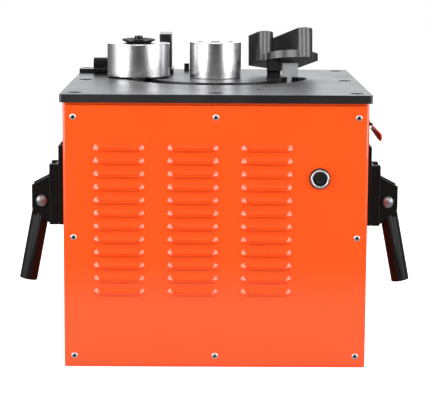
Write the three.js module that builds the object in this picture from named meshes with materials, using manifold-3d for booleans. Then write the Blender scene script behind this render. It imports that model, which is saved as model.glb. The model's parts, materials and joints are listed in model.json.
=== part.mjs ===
// Electric table-top rebar bender, built as separate pieces.
// Millimetres, +Z up. The origin is on the floor under the middle of the cabinet; the front faces -Y.

import * as THREE from 'three';
import { mergeVertices } from 'three/addons/utils/BufferGeometryUtils.js';
import Module from 'manifold-3d';

const wasm = await Module();
wasm.setup();

// Values that several pieces share
const fitGap = 0.3; // air left between pieces that touch
const overrun = 1; // how far a cutting body runs past the face that it cuts
const half = 0.5;
const turn = Math.PI * 2;
const degree = Math.PI / 180;
const fineSteps = 32; // facets round a large circle
const roundSteps = 20; // facets round a middling circle
const smallSteps = 12; // facets round a small circle
const smallRadius = 12; // a circle up to this radius takes the small number of facets
const cornerSteps = 2; // half the facets in a rounded corner
const slotSteps = 14; // half the facets in each arc of the curved slot

// Top plate, the table that the bar is bent on
const plateWidth = 450;
const plateDepth = 480;
const plateThick = 12;
const plateTop = 402;
const plateCornerRadius = 4;
const plateUnder = plateTop - plateThick;
const plateBoltInset = 20.5; // from the side edge
const plateBoltFrontInset = 29;
const plateBoltBackInset = 31;
const plateBoltToCentre = 54.5; // the middle pair, in front of the turning centre
const plateBoltX = plateWidth * half - plateBoltInset;
const plateBoltFrontY = plateBoltFrontInset - plateDepth * half;
const plateBoltBackY = plateDepth * half - plateBoltBackInset;
const plateBoltHead = 18;
const plateBoltHeadHigh = 8;
const plateBoltBore = 12.6;
const plateBoltClear = 1.5; // room round a sunk bolt head
const toolHoleRadius = 3;
const toolHoleSinkRadius = 4.6;
const toolHoleSinkDeep = 1.6;
const toolHoleX = 63.6;
const toolHoleToCentre = 216.5; // in front of the turning centre
const secondHoleX = 75.6;
const secondHoleToCentre = 163.5;

// Turning centre, which the curved slot, the gear and both rollers share
const centreX = 0;
const centreToBack = 173.5; // from the plate's back edge
const centreY = plateDepth * half - centreToBack;
const slotInnerRadius = 106;
const slotOuterRadius = 147.3;
const slotWidth = slotOuterRadius - slotInnerRadius;
const slotMidRadius = (slotInnerRadius + slotOuterRadius) * half;
const slotStartAngle = 180 * degree;
const slotEndAngle = 355.7 * degree;

// Centre roller and its pin
const centreRollerRadius = 41.3;
const centreRollerHigh = 57;
const centreRollerBore = 18.3;
const centreRollerChamfer = 1.6;
const centreRollerRecess = 5; // sunk face round the pin
const centreRollerRecessRadius = 30;
const centrePinRunClear = 0.4;
const centrePinCollarRadius = 34;
const centrePinCollarThick = 6;
const centrePinJournalRadius = 24;

// Bending roller, its pin, washer and screw
const bendRollerRadius = 50.2;
const bendRollerHigh = 52.6;
const bendRollerBore = 13.3;
const bendCircleInset = 3.15; // pin circle inside the slot's centre line
const bendPinSlotClear = 1;
const bendCircleRadius = slotMidRadius - bendCircleInset;
const bendRollerChamfer = 1.8;
const bendPinCollarRadius = slotWidth * half - bendCircleInset - bendPinSlotClear;
const bendPinCollarRise = 2; // collar top over the plate
const bendPinRunClear = 0.3;
const keeperRadius = 26.5;
const keeperThick = 3;
const keeperRimRise = 4.2;
const keeperRimThick = 2.4;
const keeperDish = 15.5; // flat middle of the keeper washer, radius
const screwHeadRadius = 6.5;
const screwHeadHigh = 8;
const screwShankRadius = 4;
const screwShankLong = 22;
const screwHexRadius = 3.5;
const screwHexDeep = 4;

// Turning gear and drive pinion
const gearModule = 5;
const gearTeeth = 39;
const pinionTeeth = 13;
const pressureAngle = 20 * degree;
const toothPlay = 0.5; // play left between meshing teeth, along the pitch circle
const toothRootShare = 1.25;
const gearThick = 22;
const gearUnderPlate = 16; // air between the plate and the gear rim
const gearWebThick = 10;
const gearRimThick = 14;
const gearHubRadius = 38;
const armHalfWidth = 22;
const bushWall = 4;
const gearLightHoles = 5;
const gearLightHoleRadius = 12;
const pinionBelowGear = 4;
const pinionTopDrop = 1;
const pinionShaftRadius = 16;
const gearTop = plateUnder - gearUnderPlate;
const gearBottom = gearTop - gearThick;
const armTop = plateUnder - centrePinCollarThick - fitGap - fitGap; // the top of the hub too
const gearPitchRadius = gearModule * gearTeeth * half;
const pinionPitchRadius = gearModule * pinionTeeth * half;
const pinionX = centreX;
const pinionY = centreY - gearPitchRadius - pinionPitchRadius;

// Cradle that hangs under the plate and carries the gear and the gearbox
const cradleSideRoom = 46;
const cradleEndRoom = 25;
const cradleThick = 10;
const cradleUnderGear = 18;
const cradleLeg = 26;
const cradleLegInset = 4;
const cradleSpindleClear = 0.3;
const cradleTop = gearBottom - cradleUnderGear;
const cradleBottom = cradleTop - cradleThick;
const thrustRadius = 36;

// Gearbox, motor, fan cowl and terminal box
const gearboxWidth = 140;
const gearboxDepth = 110;
const gearboxHigh = 120;
const gearboxEdge = 8;
const gearboxFlangeWiden = 14;
const gearboxFlangeThick = 12;
const gearboxRibs = 3;
const gearboxRibThick = 6;
const gearboxRibRise = 5;
const gearboxY = pinionY + 14;
const motorRadius = 62;
const motorLong = 120;
const motorFlangeRadius = 64;
const motorFlangeThick = 12;
const motorFins = 16;
const motorFinRise = 5;
const motorFinThick = 3;
const motorCowlWall = 2;
const motorCowlLong = 30;
const motorCowlRadius = 64;
const cowlSlots = 8;
const cowlSlotWide = 6;
const cowlSlotInner = 16;
const cowlSlotOuter = 50;
const terminalWide = 70;
const terminalDeep = 54;
const terminalHigh = 26;
const terminalRound = 4;
const motorPadShare = 0.8; // of the terminal box, each way

// Cabinet shell, front panel and base
const plateSideOverhang = 4;
const plateEndOverhang = 5;
const sheet = 2; // thickness of the cabinet sheet
const cabinetWidth = plateWidth - plateSideOverhang - plateSideOverhang;
const cabinetDepth = plateDepth - plateEndOverhang - plateEndOverhang;
const cabinetTop = plateUnder - fitGap;
const cabinetCornerRadius = 5;
const frontReturn = 24; // flanges that the front panel is screwed to
const topFlange = 20;
const panelSideInset = 4.5;
const panelEndInset = 4;
const panelCornerRadius = 4;
const cabinetFront = -cabinetDepth * half;
const cabinetBack = cabinetDepth * half;
const cabinetSide = cabinetWidth * half;
const cradleWidth = cabinetWidth - cradleSideRoom - cradleSideRoom;
const cradleDepth = cabinetDepth - cradleEndRoom - cradleEndRoom;
const panelBack = cabinetFront + sheet;
const flangeFront = panelBack + fitGap;
const baseThick = 3;
const baseLip = 18;

// Louvres in the front panel
const louvreColumns = 3;
const louvrePitchShare = 0.242; // of the cabinet's width, as are the next two
const louvreWideShare = 0.1618;
const louvreMiddleShare = -0.0744;
const louvreRows = 12;
const louvreTopDrop = 59.5; // top row under the cabinet's top
const louvreLowestZ = 108.6;
const louvreHigh = 10;
const louvrePitchX = cabinetWidth * louvrePitchShare;
const louvreMiddleX = cabinetWidth * louvreMiddleShare;
const louvreWide = cabinetWidth * louvreWideShare;
const louvrePitchZ = (cabinetTop - louvreTopDrop - louvreHigh - louvreLowestZ) / (louvreRows - 1);
const louvreRise = 5;
const louvreWall = 1.2;
const louvreSteps = 2;
const louvreEndSteps = 6; // round a whole turn, of which the front half shows

// Foot-pedal socket in the front panel
const socketFromSide = 70.5; // from the cabinet's side
const socketX = cabinetSide - socketFromSide;
const socketTopDrop = 108.7;
const socketZ = cabinetTop - socketTopDrop;
const socketRingRadius = 15.2;
const socketRingRise = 3;
const socketInsertRadius = 13.3;
const socketInsertRise = 5;
const socketWall = 2.2;
const socketDeep = 14;
const socketPins = 4;
const socketPinRadius = 1.1;
const socketPinCircle = 4.6;
const socketPinLong = 9;
const socketNeckRadius = 11;
const socketNeckLong = 16;

// Switch on the right side, with a flap that stands open
const switchFrontInset = 59; // from the cabinet's front face
const switchTopDrop = 28.7;
const switchY = cabinetFront + switchFrontInset;
const switchTop = cabinetTop - switchTopDrop;
const switchHigh = 60;
const switchWide = 48;
const switchFlange = 3;
const switchBodyHigh = 46;
const switchBodyWide = 34;
const switchBodyDeep = 38;
const switchRound = 3;
const flapLong = 28.5;
const flapDeep = 9.3;
const flapWall = 1.8;
const flapWide = 38;
const flapOpen = 44.5 * degree;
const flapOutlineShares = [[-0.04, 0], [0.77, 0], [0.95, 0.43], [1, 0.97]];
const flapPinRadius = 1.2;
const flapPinOut = 2.7; // pin axis in front of the flange
const flapPinDrop = 5; // pin axis under the flange's top
const flapEyeRadius = 2.2;
const flapEarThick = 2;
const pusherStart = 8;
const pusherThick = 4.2;
const pusherWide = 28;
const buttonWide = 12;
const buttonHigh = 14;
const buttonRise = 1;
const buttonDrop = 25; // button middle under the pin axis
const buttonTravel = 1.5;
const buttonDeep = 7;
const buttonApart = 3;

// Cable gland in the back wall
const glandFromSide = 71;
const glandX = glandFromSide - cabinetSide;
const glandZ = 70;
const glandRadius = 9;
const glandHexRadius = 13;
const glandHexThick = 6;
const glandCapRadius = 11;
const glandCapLong = 14;
const glandBore = 4.5;
const glandThreadLong = 14;

// Control box inside the cabinet
const controlWide = 110;
const controlHigh = 120;
const controlDeep = 60;
const controlFromSide = 101;
const controlX = cabinetSide - controlFromSide;
const controlEdge = 5;

// Fork: a tilting, swivelling two-jaw block on a post. Its u values run toward the front right, v across.
const forkPostRadius = 11;
const forkPostSlotClear = 1; // from the post to the curved slot
const forkPostX = slotInnerRadius - forkPostRadius - forkPostSlotClear;
const forkPostHigh = 4;
const forkSpigotRadius = 8;
const forkSwivelSpigotLong = 12;
const forkSwivelSpigotRadius = 3;
const forkDiscThick = 3;
const forkPinHigh = 15.2;
const forkPinRadius = 2.5;
const forkPinHalf = 9;
const forkTongueHalf = 4.5;
const forkTongueRadius = 5;
const forkPocketRoom = 2.5; // room for the tongue to tilt
const forkBossBelowPin = 4;
const forkUnderAtPivot = 27;
const forkTurn = -60 * degree;
const forkTilt = 18 * degree;
const forkFar = -48;
const forkLeft = -18;
const forkRight = 60;
const forkThick = 12;
const forkRoundRadius = 48;
const forkRoundU = -3;
const forkRoundLeft = -12; // the rounded end starts at this v
const forkRoundV = forkRoundLeft + forkRoundRadius;
const forkJawHigh = 37;
const forkJawHalf = 13.5;
const forkJawFar = -45;
const forkLeftJawV = -7.5;
const forkLeftJawNear = -12.5;
const forkRightJawV = 34.5;
const forkRightJawNear = 39;
const forkEdge = 2;

// Fence with its screw
const fenceJawLeft = -91.5;
const fenceJawRight = -72;
const fenceJawRollerClear = 2.3; // from the bending roller to the jaw
const fenceJawLong = 71;
const fenceJawFront = centreY + bendRollerRadius + fenceJawRollerClear;
const fenceJawBack = fenceJawFront + fenceJawLong;
const fenceJawHigh = 66;
const fenceJawFootRise = 9;
const fenceJawFootReach = 3;
const fenceJawEdge = 3;
const fenceBarLeft = -plateWidth * half;
const fenceBarWide = 42;
const fenceBarFromScrew = 12;
const fenceBarThick = 7;
const fenceBlockLeft = -165;
const fenceBlockRight = -140;
const fenceBlockRollerClear = 1.3;
const fenceBlockFront = centreY + bendRollerRadius + fenceBlockRollerClear;
const fenceBlockTop = 28;
const fenceScrewRollerClear = 14.3;
const fenceScrewY = centreY + bendRollerRadius + fenceScrewRollerClear;
const fenceBarFront = fenceScrewY + fenceBarFromScrew;
const fenceBarBack = fenceBarFront + fenceBarWide;
const fenceScrewZ = 14;
const fenceScrewRadius = 8;
const fenceScrewPitch = 2;
const fenceScrewThreadDeep = 0.9;
const fenceScrewEndSink = 8;
const fenceKnobRadius = 13.5;
const fenceKnobLeft = -200;
const fenceKnobRight = -167;
const knurlFlutes = 20;
const knurlDeep = 0.9;
const fenceKnobEdge = 1.5;
const fenceBoltInset = 13;
const fenceBoltRadius = 7.5;
const fenceBoltHigh = 4;
const fenceBoltClear = 0.8; // room round a sunk bolt head
const fenceBoltShank = 4;

// Tail peg that keeps the bar's far end in line
const tailLeft = -52;
const tailRight = -43.5;
const tailGap = 1;
const tailLong = 8;
const tailFront = fenceJawBack + tailGap;
const tailBack = tailFront + tailLong;
const tailHigh = 12.9;
const tailSpigotRadius = 3;

// Limit lever in the right end of the slot
const leverLeftShare = 0.218; // paddle past the stem's middle, of the slot's width
const leverRightShare = 0.387;
const leverTop = 23.5;
const leverBottom = 1.2;
const leverBackShare = 0.44; // of the slot's end radius, past the end's middle
const leverInShare = 0.446; // of the slot's end radius, toward the turning centre
const leverStemShare = 0.194; // of the slot's width
const leverThick = 2;
const leverPivotDrop = 8; // pivot under the plate
const leverEyeRadius = 4.5;
const leverPinRadius = 2;
const limitBodyLeft = 4; // the case reaches this far past the stem's middle
const limitBodyRight = 30;
const limitBodyHigh = 26;
const limitBodyDeep = 30;
const limitBodyClear = 1; // from the lever's eye to the case behind it
const limitEarThick = 5;
const limitBodyRound = 2;

// Carry handles
const handleMountHalf = 28;
const handleMountReach = 25;
const handleMountTopDrop = 87.7; // under the cabinet's top
const handleMountLong = 126;
const handleMountTop = cabinetTop - handleMountTopDrop;
const handleMountBottom = handleMountTop - handleMountLong;
const handleMountWall = 3;
const handleFlange = 16;
const channelDeep = 14;
const channelTopDrop = 30;
const channelWall = 4;
const cheekTopOut = 41; // these reach out from the cabinet's side
const cheekNoseOut = 68;
const cheekTopDrop = 50; // and these down from the mount's top
const cheekNoseDrop = 64;
const cheekLowDrop = 101;
const cheekGap = 29;
const cheekThick = 4;
const handleBoltOut = 52;
const handleBoltDrop = 89;
const handleBoltRadius = 5;
const handleBoltHead = 9.5;
const handleBoltDome = 6;
const handleNutRadius = 9;
const handleNutThick = 7;
const gripRadius = 14;
const gripWall = 2.5;
const gripEndOut = 76;
const gripEndDrop = 214;
const gripEyeRadius = 11;
const gripEyeClear = 1;
const gripPlugRim = 3;
const gripPlugLong = 12;

// Colours and finishes
const finishes = {
  orange: { color: 0xff5c1c, roughness: 0.5, metalness: 0 },
  black: { color: 0x1a1a1c, roughness: 0.45, metalness: 0.3 },
  table: { color: 0x2a2b2e, roughness: 0.38, metalness: 0.5 },
  polished: { color: 0xd8d9dc, roughness: 0.16, metalness: 1 },
  zinc: { color: 0xc4c6c8, roughness: 0.3, metalness: 1 },
  gear: { color: 0x77787c, roughness: 0.4, metalness: 1 },
  bronze: { color: 0xb58a4a, roughness: 0.35, metalness: 1 },
  iron: { color: 0x6a6d70, roughness: 0.6, metalness: 0.5 },
  motorPaint: { color: 0x3d5a78, roughness: 0.5, metalness: 0.2 },
  plastic: { color: 0x16171a, roughness: 0.5, metalness: 0 },
  grip: { color: 0x141416, roughness: 0.6, metalness: 0 },
  redPlastic: { color: 0xc81e14, roughness: 0.35, metalness: 0 },
  darkRed: { color: 0x6e1712, roughness: 0.4, metalness: 0 },
  greenPlastic: { color: 0x1f8a3c, roughness: 0.35, metalness: 0 },
};

const bender = new THREE.Group();
bender.name = 'rebar_bender';

// Turning three.js shapes into closed bodies, and joining and cutting them

function body(geometry) {
  const bare = geometry.index ? geometry.toNonIndexed() : geometry.clone();
  bare.deleteAttribute('normal');
  bare.deleteAttribute('uv');
  const welded = mergeVertices(bare);
  const corners = welded.index.array;
  const points = welded.attributes.position.array;
  const kept = [];
  let volume = 0;
  for (let i = 0; i < corners.length; i += 3) {
    const [a, b, c] = [corners[i], corners[i + 1], corners[i + 2]];
    if (a === b || b === c || c === a) continue;
    kept.push(a, b, c);
    const [pa, pb, pc] = [a, b, c].map((k) => new THREE.Vector3().fromArray(points, k * 3));
    volume += pa.dot(pb.cross(pc));
  }
  if (volume < 0) kept.reverse();
  const triVerts = Uint32Array.from(kept);
  const vertProperties = Float32Array.from(points);
  return new wasm.Manifold(new wasm.Mesh({ numProp: 3, vertProperties, triVerts }));
}

function join(first, ...others) {
  return others.reduce((sum, next) => sum.add(next), first);
}

function cut(first, ...others) {
  return others.reduce((rest, next) => rest.subtract(next), first);
}

function add(name, solid, finish) {
  const made = solid.getMesh();
  const geometry = new THREE.BufferGeometry();
  geometry.setAttribute('position', new THREE.BufferAttribute(Float32Array.from(made.vertProperties), 3));
  geometry.setIndex(new THREE.BufferAttribute(Uint32Array.from(made.triVerts), 1));
  const flat = geometry.toNonIndexed();
  flat.computeVertexNormals();
  const piece = new THREE.Mesh(flat, new THREE.MeshStandardMaterial(finishes[finish]));
  piece.name = name;
  bender.add(piece);
}

// Blocks, rods and plates between named limits

function block(x0, x1, y0, y1, z0, z1) {
  const geometry = new THREE.BoxGeometry(x1 - x0, y1 - y0, z1 - z0);
  geometry.translate((x0 + x1) * half, (y0 + y1) * half, (z0 + z1) * half);
  return body(geometry);
}

function stepsFor(radius) {
  return radius > smallRadius ? roundSteps : smallSteps;
}

function uprightRod(radius, x, y, z0, z1, steps = stepsFor(radius)) {
  const geometry = new THREE.CylinderGeometry(radius, radius, z1 - z0, steps);
  geometry.rotateX(turn / 4);
  geometry.translate(x, y, (z0 + z1) * half);
  return body(geometry);
}

function crossRod(radius, x0, x1, y, z, steps = stepsFor(radius)) {
  const geometry = new THREE.CylinderGeometry(radius, radius, x1 - x0, steps);
  geometry.rotateZ(turn / 4);
  geometry.translate((x0 + x1) * half, y, z);
  return body(geometry);
}

function depthRod(radius, x, y0, y1, z, steps = stepsFor(radius)) {
  const geometry = new THREE.CylinderGeometry(radius, radius, y1 - y0, steps);
  geometry.translate(x, (y0 + y1) * half, z);
  return body(geometry);
}

// An outline drawn in X and Y, raised from z0 to z1
function raised(shape, z0, z1, curveSegments = cornerSteps) {
  const geometry = new THREE.ExtrudeGeometry(shape, { depth: z1 - z0, bevelEnabled: false, curveSegments });
  geometry.translate(0, 0, z0);
  return body(geometry);
}

// An outline drawn in X and Z, running from y0 to y1
function sideways(shape, y0, y1, curveSegments = cornerSteps) {
  const geometry = new THREE.ExtrudeGeometry(shape, { depth: y1 - y0, bevelEnabled: false, curveSegments });
  geometry.rotateX(turn / 4);
  geometry.translate(0, y1, 0);
  return body(geometry);
}

// A profile of [radius, height] points turned round a standing line at x, y
function turned(profile, x, y, z, steps = roundSteps) {
  const points = profile.map(([radius, height]) => new THREE.Vector2(radius, height));
  const geometry = new THREE.LatheGeometry(points, steps);
  geometry.rotateX(turn / 4);
  geometry.translate(x, y, z);
  return body(geometry);
}

function roundedRectangle(x0, x1, y0, y1, radius) {
  const shape = new THREE.Shape();
  shape.moveTo(x0 + radius, y0);
  shape.lineTo(x1 - radius, y0);
  shape.absarc(x1 - radius, y0 + radius, radius, -turn / 4, 0);
  shape.lineTo(x1, y1 - radius);
  shape.absarc(x1 - radius, y1 - radius, radius, 0, turn / 4);
  shape.lineTo(x0 + radius, y1);
  shape.absarc(x0 + radius, y1 - radius, radius, turn / 4, turn / 2);
  shape.lineTo(x0, y0 + radius);
  shape.absarc(x0 + radius, y0 + radius, radius, turn / 2, turn * 3 / 4);
  return shape;
}

function polygon(points) {
  const shape = new THREE.Shape();
  points.forEach(([x, y], i) => (i ? shape.lineTo(x, y) : shape.moveTo(x, y)));
  shape.closePath();
  return shape;
}

function hexagon(radius) {
  const corners = 6;
  return polygon(Array.from({ length: corners }, (_, i) => {
    const angle = (turn * i) / corners;
    return [radius * Math.cos(angle), radius * Math.sin(angle)];
  }));
}

// Table plate with its curved slot

function curvedSlotOutline() {
  const capRadius = slotWidth * half;
  const capAt = (angle) => [centreX + slotMidRadius * Math.cos(angle), centreY + slotMidRadius * Math.sin(angle)];
  const [startX, startY] = capAt(slotStartAngle);
  const [endX, endY] = capAt(slotEndAngle);
  const shape = new THREE.Shape();
  shape.absarc(centreX, centreY, slotOuterRadius, slotStartAngle, slotEndAngle, false);
  shape.absarc(endX, endY, capRadius, slotEndAngle, slotEndAngle + turn / 2, false);
  shape.absarc(centreX, centreY, slotInnerRadius, slotEndAngle, slotStartAngle, true);
  shape.absarc(startX, startY, capRadius, slotStartAngle - turn / 2, slotStartAngle, false);
  return shape;
}

function plateBoltPlaces() {
  const outer = [-plateBoltX, plateBoltX];
  return [
    ...[-plateBoltX, 0, plateBoltX].map((x) => [x, plateBoltFrontY]),
    ...outer.map((x) => [x, centreY - plateBoltToCentre]),
    ...[-plateBoltX, 0, plateBoltX].map((x) => [x, plateBoltBackY]),
  ];
}

function makeTopPlate() {
  const [wide, deep] = [plateWidth * half, plateDepth * half];
  let plate = raised(roundedRectangle(-wide, wide, -deep, deep, plateCornerRadius), plateUnder, plateTop);
  plate = cut(plate, raised(curvedSlotOutline(), plateUnder - overrun, plateTop + overrun, slotSteps));
  const bores = plateBoltPlaces().flatMap(([x, y]) => [
    uprightRod(plateBoltHead * half + plateBoltClear, x, y, plateTop - plateBoltHeadHigh - fitGap, plateTop + overrun),
    uprightRod(plateBoltBore * half, x, y, plateUnder - overrun, plateTop),
  ]);
  const toolHoles = [[toolHoleX, centreY - toolHoleToCentre], [secondHoleX, centreY - secondHoleToCentre]].map(([x, y]) => turned([
    [0, plateUnder - overrun],
    [toolHoleRadius, plateUnder - overrun],
    [toolHoleRadius, plateTop - toolHoleSinkDeep],
    [toolHoleSinkRadius, plateTop],
    [toolHoleSinkRadius, plateTop + overrun],
    [0, plateTop + overrun],
  ], x, y, 0, smallSteps));
  const pinHole = uprightRod(centrePinRadius + fitGap, centreX, centreY, plateUnder - overrun, plateTop + overrun);
  const postHole = uprightRod(forkSpigotRadius + fitGap, forkPostX, centreY, plateUnder - overrun, plateTop + overrun);
  const [tailX, tailY] = tailMiddle();
  const tailHole = uprightRod(tailSpigotRadius + fitGap, tailX, tailY, plateUnder - overrun, plateTop + overrun);
  const barHoles = fenceBoltPlaces().map(([x, y]) =>
    uprightRod(fenceBoltShank + fitGap, x, y, plateUnder - overrun, plateTop + overrun));
  add('top_plate', cut(plate, ...bores, ...toolHoles, pinHole, postHole, tailHole, ...barHoles), 'table');
}

// One socket head bolt of the table: head sunk in the plate, shank flush with the underside
function makePlateBolts() {
  plateBoltPlaces().forEach(([x, y], i) => {
    const radius = plateBoltHead * half;
    const headTop = plateTop - fitGap;
    const headBottom = plateTop - plateBoltHeadHigh;
    const head = uprightRod(radius, x, y, headBottom, headTop);
    const shank = uprightRod(plateBoltBore * half - fitGap, x, y, plateUnder, headTop);
    const socket = raised(hexagon(radius * half), headTop - plateBoltHeadHigh * half, headTop + overrun)
      .translate([x, y, 0]);
    add(`plate_bolt_${i + 1}`, cut(join(head, shank), socket), 'black');
  });
}

// Centre pin and centre roller

const centrePinRadius = centreRollerBore - centrePinRunClear;

function makeCentre() {
  const pinTop = plateTop + fitGap + centreRollerHigh - centreRollerRecess;
  const collarTop = plateUnder - fitGap;
  const collarBottom = collarTop - centrePinCollarThick;
  const chamfer = centreRollerChamfer;
  const pin = turned([
    [0, cradleBottom],
    [centrePinJournalRadius - chamfer, cradleBottom],
    [centrePinJournalRadius, cradleBottom + chamfer],
    [centrePinJournalRadius, collarBottom],
    [centrePinCollarRadius, collarBottom],
    [centrePinCollarRadius, collarTop],
    [centrePinRadius, collarTop],
    [centrePinRadius, pinTop - chamfer],
    [centrePinRadius - chamfer, pinTop],
    [0, pinTop],
  ], centreX, centreY, 0);
  add('centre_pin', pin, 'zinc');

  const bottom = plateTop + fitGap;
  const top = bottom + centreRollerHigh;
  const roller = turned([
    [centreRollerBore, bottom],
    [centreRollerRadius - chamfer, bottom],
    [centreRollerRadius, bottom + chamfer],
    [centreRollerRadius, top - chamfer],
    [centreRollerRadius - chamfer, top],
    [centreRollerRecessRadius, top],
    [centreRollerRecessRadius - chamfer, top - centreRollerRecess],
    [centreRollerBore, top - centreRollerRecess],
    [centreRollerBore, bottom],
  ], centreX, centreY, 0, fineSteps);
  add('centre_roller', roller, 'polished');
}

// Bending roller on its pin, with the keeper washer and screw

const bendX = centreX - bendCircleRadius;
const bendY = centreY;
const bendPinRadius = bendRollerBore - bendPinRunClear;
const bendRollerBottom = plateTop + bendPinCollarRise + fitGap;
const bendRollerTop = bendRollerBottom + bendRollerHigh;
const keeperBottom = bendRollerTop + fitGap;

function makeBendingRoller() {
  const chamfer = bendRollerChamfer;
  const pinTop = keeperBottom - fitGap - fitGap;
  const pinBottom = gearTop + fitGap;
  const pinProfile = turned([
    [0, pinBottom],
    [bendPinRadius, pinBottom],
    [bendPinRadius, armTop + fitGap],
    [bendPinCollarRadius, armTop + fitGap],
    [bendPinCollarRadius, bendRollerBottom - fitGap],
    [bendPinRadius, bendRollerBottom - fitGap],
    [bendPinRadius, pinTop],
    [0, pinTop],
  ], bendX, bendY, 0);
  const screwHole = uprightRod(screwShankRadius + fitGap, bendX, bendY,
    keeperBottom + keeperThick - screwShankLong - fitGap, pinTop + overrun);
  add('bending_pin', cut(pinProfile, screwHole), 'zinc');

  const roller = turned([
    [bendRollerBore, bendRollerBottom],
    [bendRollerRadius - chamfer, bendRollerBottom],
    [bendRollerRadius, bendRollerBottom + chamfer],
    [bendRollerRadius, bendRollerTop - chamfer],
    [bendRollerRadius - chamfer, bendRollerTop],
    [bendRollerBore, bendRollerTop],
    [bendRollerBore, bendRollerBottom],
  ], bendX, bendY, 0, fineSteps);
  add('bending_roller', roller, 'polished');

  const keeper = turned([
    [screwShankRadius + fitGap, keeperBottom],
    [keeperDish, keeperBottom],
    [keeperRadius, keeperBottom + keeperRimRise],
    [keeperRadius, keeperBottom + keeperRimRise + keeperRimThick],
    [keeperRadius - keeperRimThick, keeperBottom + keeperRimRise + keeperRimThick],
    [keeperDish, keeperBottom + keeperThick],
    [screwShankRadius + fitGap, keeperBottom + keeperThick],
    [screwShankRadius + fitGap, keeperBottom],
  ], bendX, bendY, 0);
  add('keeper_washer', keeper, 'zinc');

  const seat = keeperBottom + keeperThick + fitGap;
  const headTop = seat + screwHeadHigh;
  const head = uprightRod(screwHeadRadius, bendX, bendY, seat, headTop);
  const shank = uprightRod(screwShankRadius, bendX, bendY, seat - screwShankLong, seat + overrun, smallSteps);
  const socket = raised(hexagon(screwHexRadius), headTop - screwHexDeep, headTop + overrun)
    .translate([bendX, bendY, 0]);
  add('keeper_screw', cut(join(head, shank), socket), 'black');
}

// Gear teeth with true involute flanks, thinned a little so that the meshing teeth keep their play

function toothHalfAngle(teeth, radius, play) {
  const pitchRadius = gearModule * teeth * half;
  const baseRadius = pitchRadius * Math.cos(pressureAngle);
  const rolled = (angle) => Math.tan(angle) - angle;
  const flank = radius > baseRadius ? rolled(Math.acos(baseRadius / radius)) : 0;
  const atPitch = turn / teeth / 4 - (play * half) / pitchRadius / 2;
  return atPitch + rolled(pressureAngle) - flank;
}

function gearOutline(teeth, startAngle) {
  const pitchRadius = gearModule * teeth * half;
  const rootRadius = pitchRadius - gearModule * toothRootShare;
  const tipRadius = pitchRadius + gearModule;
  const flankRadii = [rootRadius, tipRadius];
  const points = [];
  for (let tooth = 0; tooth < teeth; tooth += 1) {
    const middle = startAngle + (turn * tooth) / teeth;
    const rising = flankRadii.map((radius) => [radius, middle - toothHalfAngle(teeth, radius, toothPlay)]);
    const falling = flankRadii.map((radius) => [radius, middle + toothHalfAngle(teeth, radius, toothPlay)]);
    points.push(...rising, ...falling.reverse());
  }
  return polygon(points.map(([radius, angle]) => [radius * Math.cos(angle), radius * Math.sin(angle)]));
}

function makeGears() {
  const hubTop = armTop;
  const bushOuter = centrePinJournalRadius + centrePinRunClear + bushWall;
  const rimInner = gearPitchRadius - gearRimThick;
  let wheel = raised(gearOutline(gearTeeth, -turn / 4), gearBottom, gearTop).translate([centreX, centreY, 0]);
  const webSink = (gearThick - gearWebThick) * half;
  const ring = (z0, z1) => cut(
    uprightRod(rimInner, centreX, centreY, z0, z1, fineSteps),
    uprightRod(gearHubRadius, centreX, centreY, z0 - overrun, z1 + overrun, roundSteps),
  );
  wheel = cut(wheel, ring(gearTop - webSink, gearTop + overrun), ring(gearBottom - overrun, gearBottom + webSink));
  const arm = join(
    block(bendX, centreX, bendY - armHalfWidth, bendY + armHalfWidth, gearTop - overrun, armTop),
    uprightRod(armHalfWidth, bendX, bendY, gearTop, armTop, roundSteps),
  );
  wheel = join(wheel, uprightRod(gearHubRadius, centreX, centreY, gearBottom, hubTop, roundSteps), arm);
  const holeCircle = (rimInner + gearHubRadius) * half;
  const holes = Array.from({ length: gearLightHoles }, (_, i) => {
    const angle = turn * half + (turn * (i + 1)) / (gearLightHoles + 1);
    const x = centreX + holeCircle * Math.cos(angle);
    const y = centreY + holeCircle * Math.sin(angle);
    return uprightRod(gearLightHoleRadius, x, y, gearBottom - overrun, gearTop + overrun);
  });
  const bushHole = uprightRod(bushOuter + fitGap, centreX, centreY, gearBottom - overrun, hubTop + overrun, roundSteps);
  const pinHole = uprightRod(bendPinRadius + fitGap, bendX, bendY, gearBottom - overrun, armTop + overrun);
  add('turning_gear', cut(wheel, ...holes, bushHole, pinHole), 'gear');

  const bush = cut(
    uprightRod(bushOuter, centreX, centreY, gearBottom, hubTop, roundSteps),
    uprightRod(centrePinJournalRadius + centrePinRunClear, centreX, centreY, gearBottom - overrun, hubTop + overrun,
      roundSteps),
  );
  add('gear_bush', bush, 'bronze');

  const washer = cut(
    uprightRod(thrustRadius, centreX, centreY, cradleTop + fitGap, gearBottom - fitGap, roundSteps),
    uprightRod(centrePinJournalRadius + fitGap, centreX, centreY, cradleTop, gearBottom, roundSteps),
  );
  add('thrust_ring', washer, 'bronze');

  const toothSpace = turn / 4 + turn / pinionTeeth / 2; // a gap faces the tooth of the gear
  const pinionTop = gearTop - pinionTopDrop;
  const pinionBottom = gearBottom - pinionBelowGear;
  const teeth = raised(gearOutline(pinionTeeth, toothSpace), pinionBottom, pinionTop).translate([pinionX, pinionY, 0]);
  const shaft = uprightRod(pinionShaftRadius, pinionX, pinionY, gearboxTop() - gearboxHigh * half, pinionBottom + overrun);
  add('drive_pinion', join(teeth, shaft), 'gear');
}

// Cradle under the plate

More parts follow.
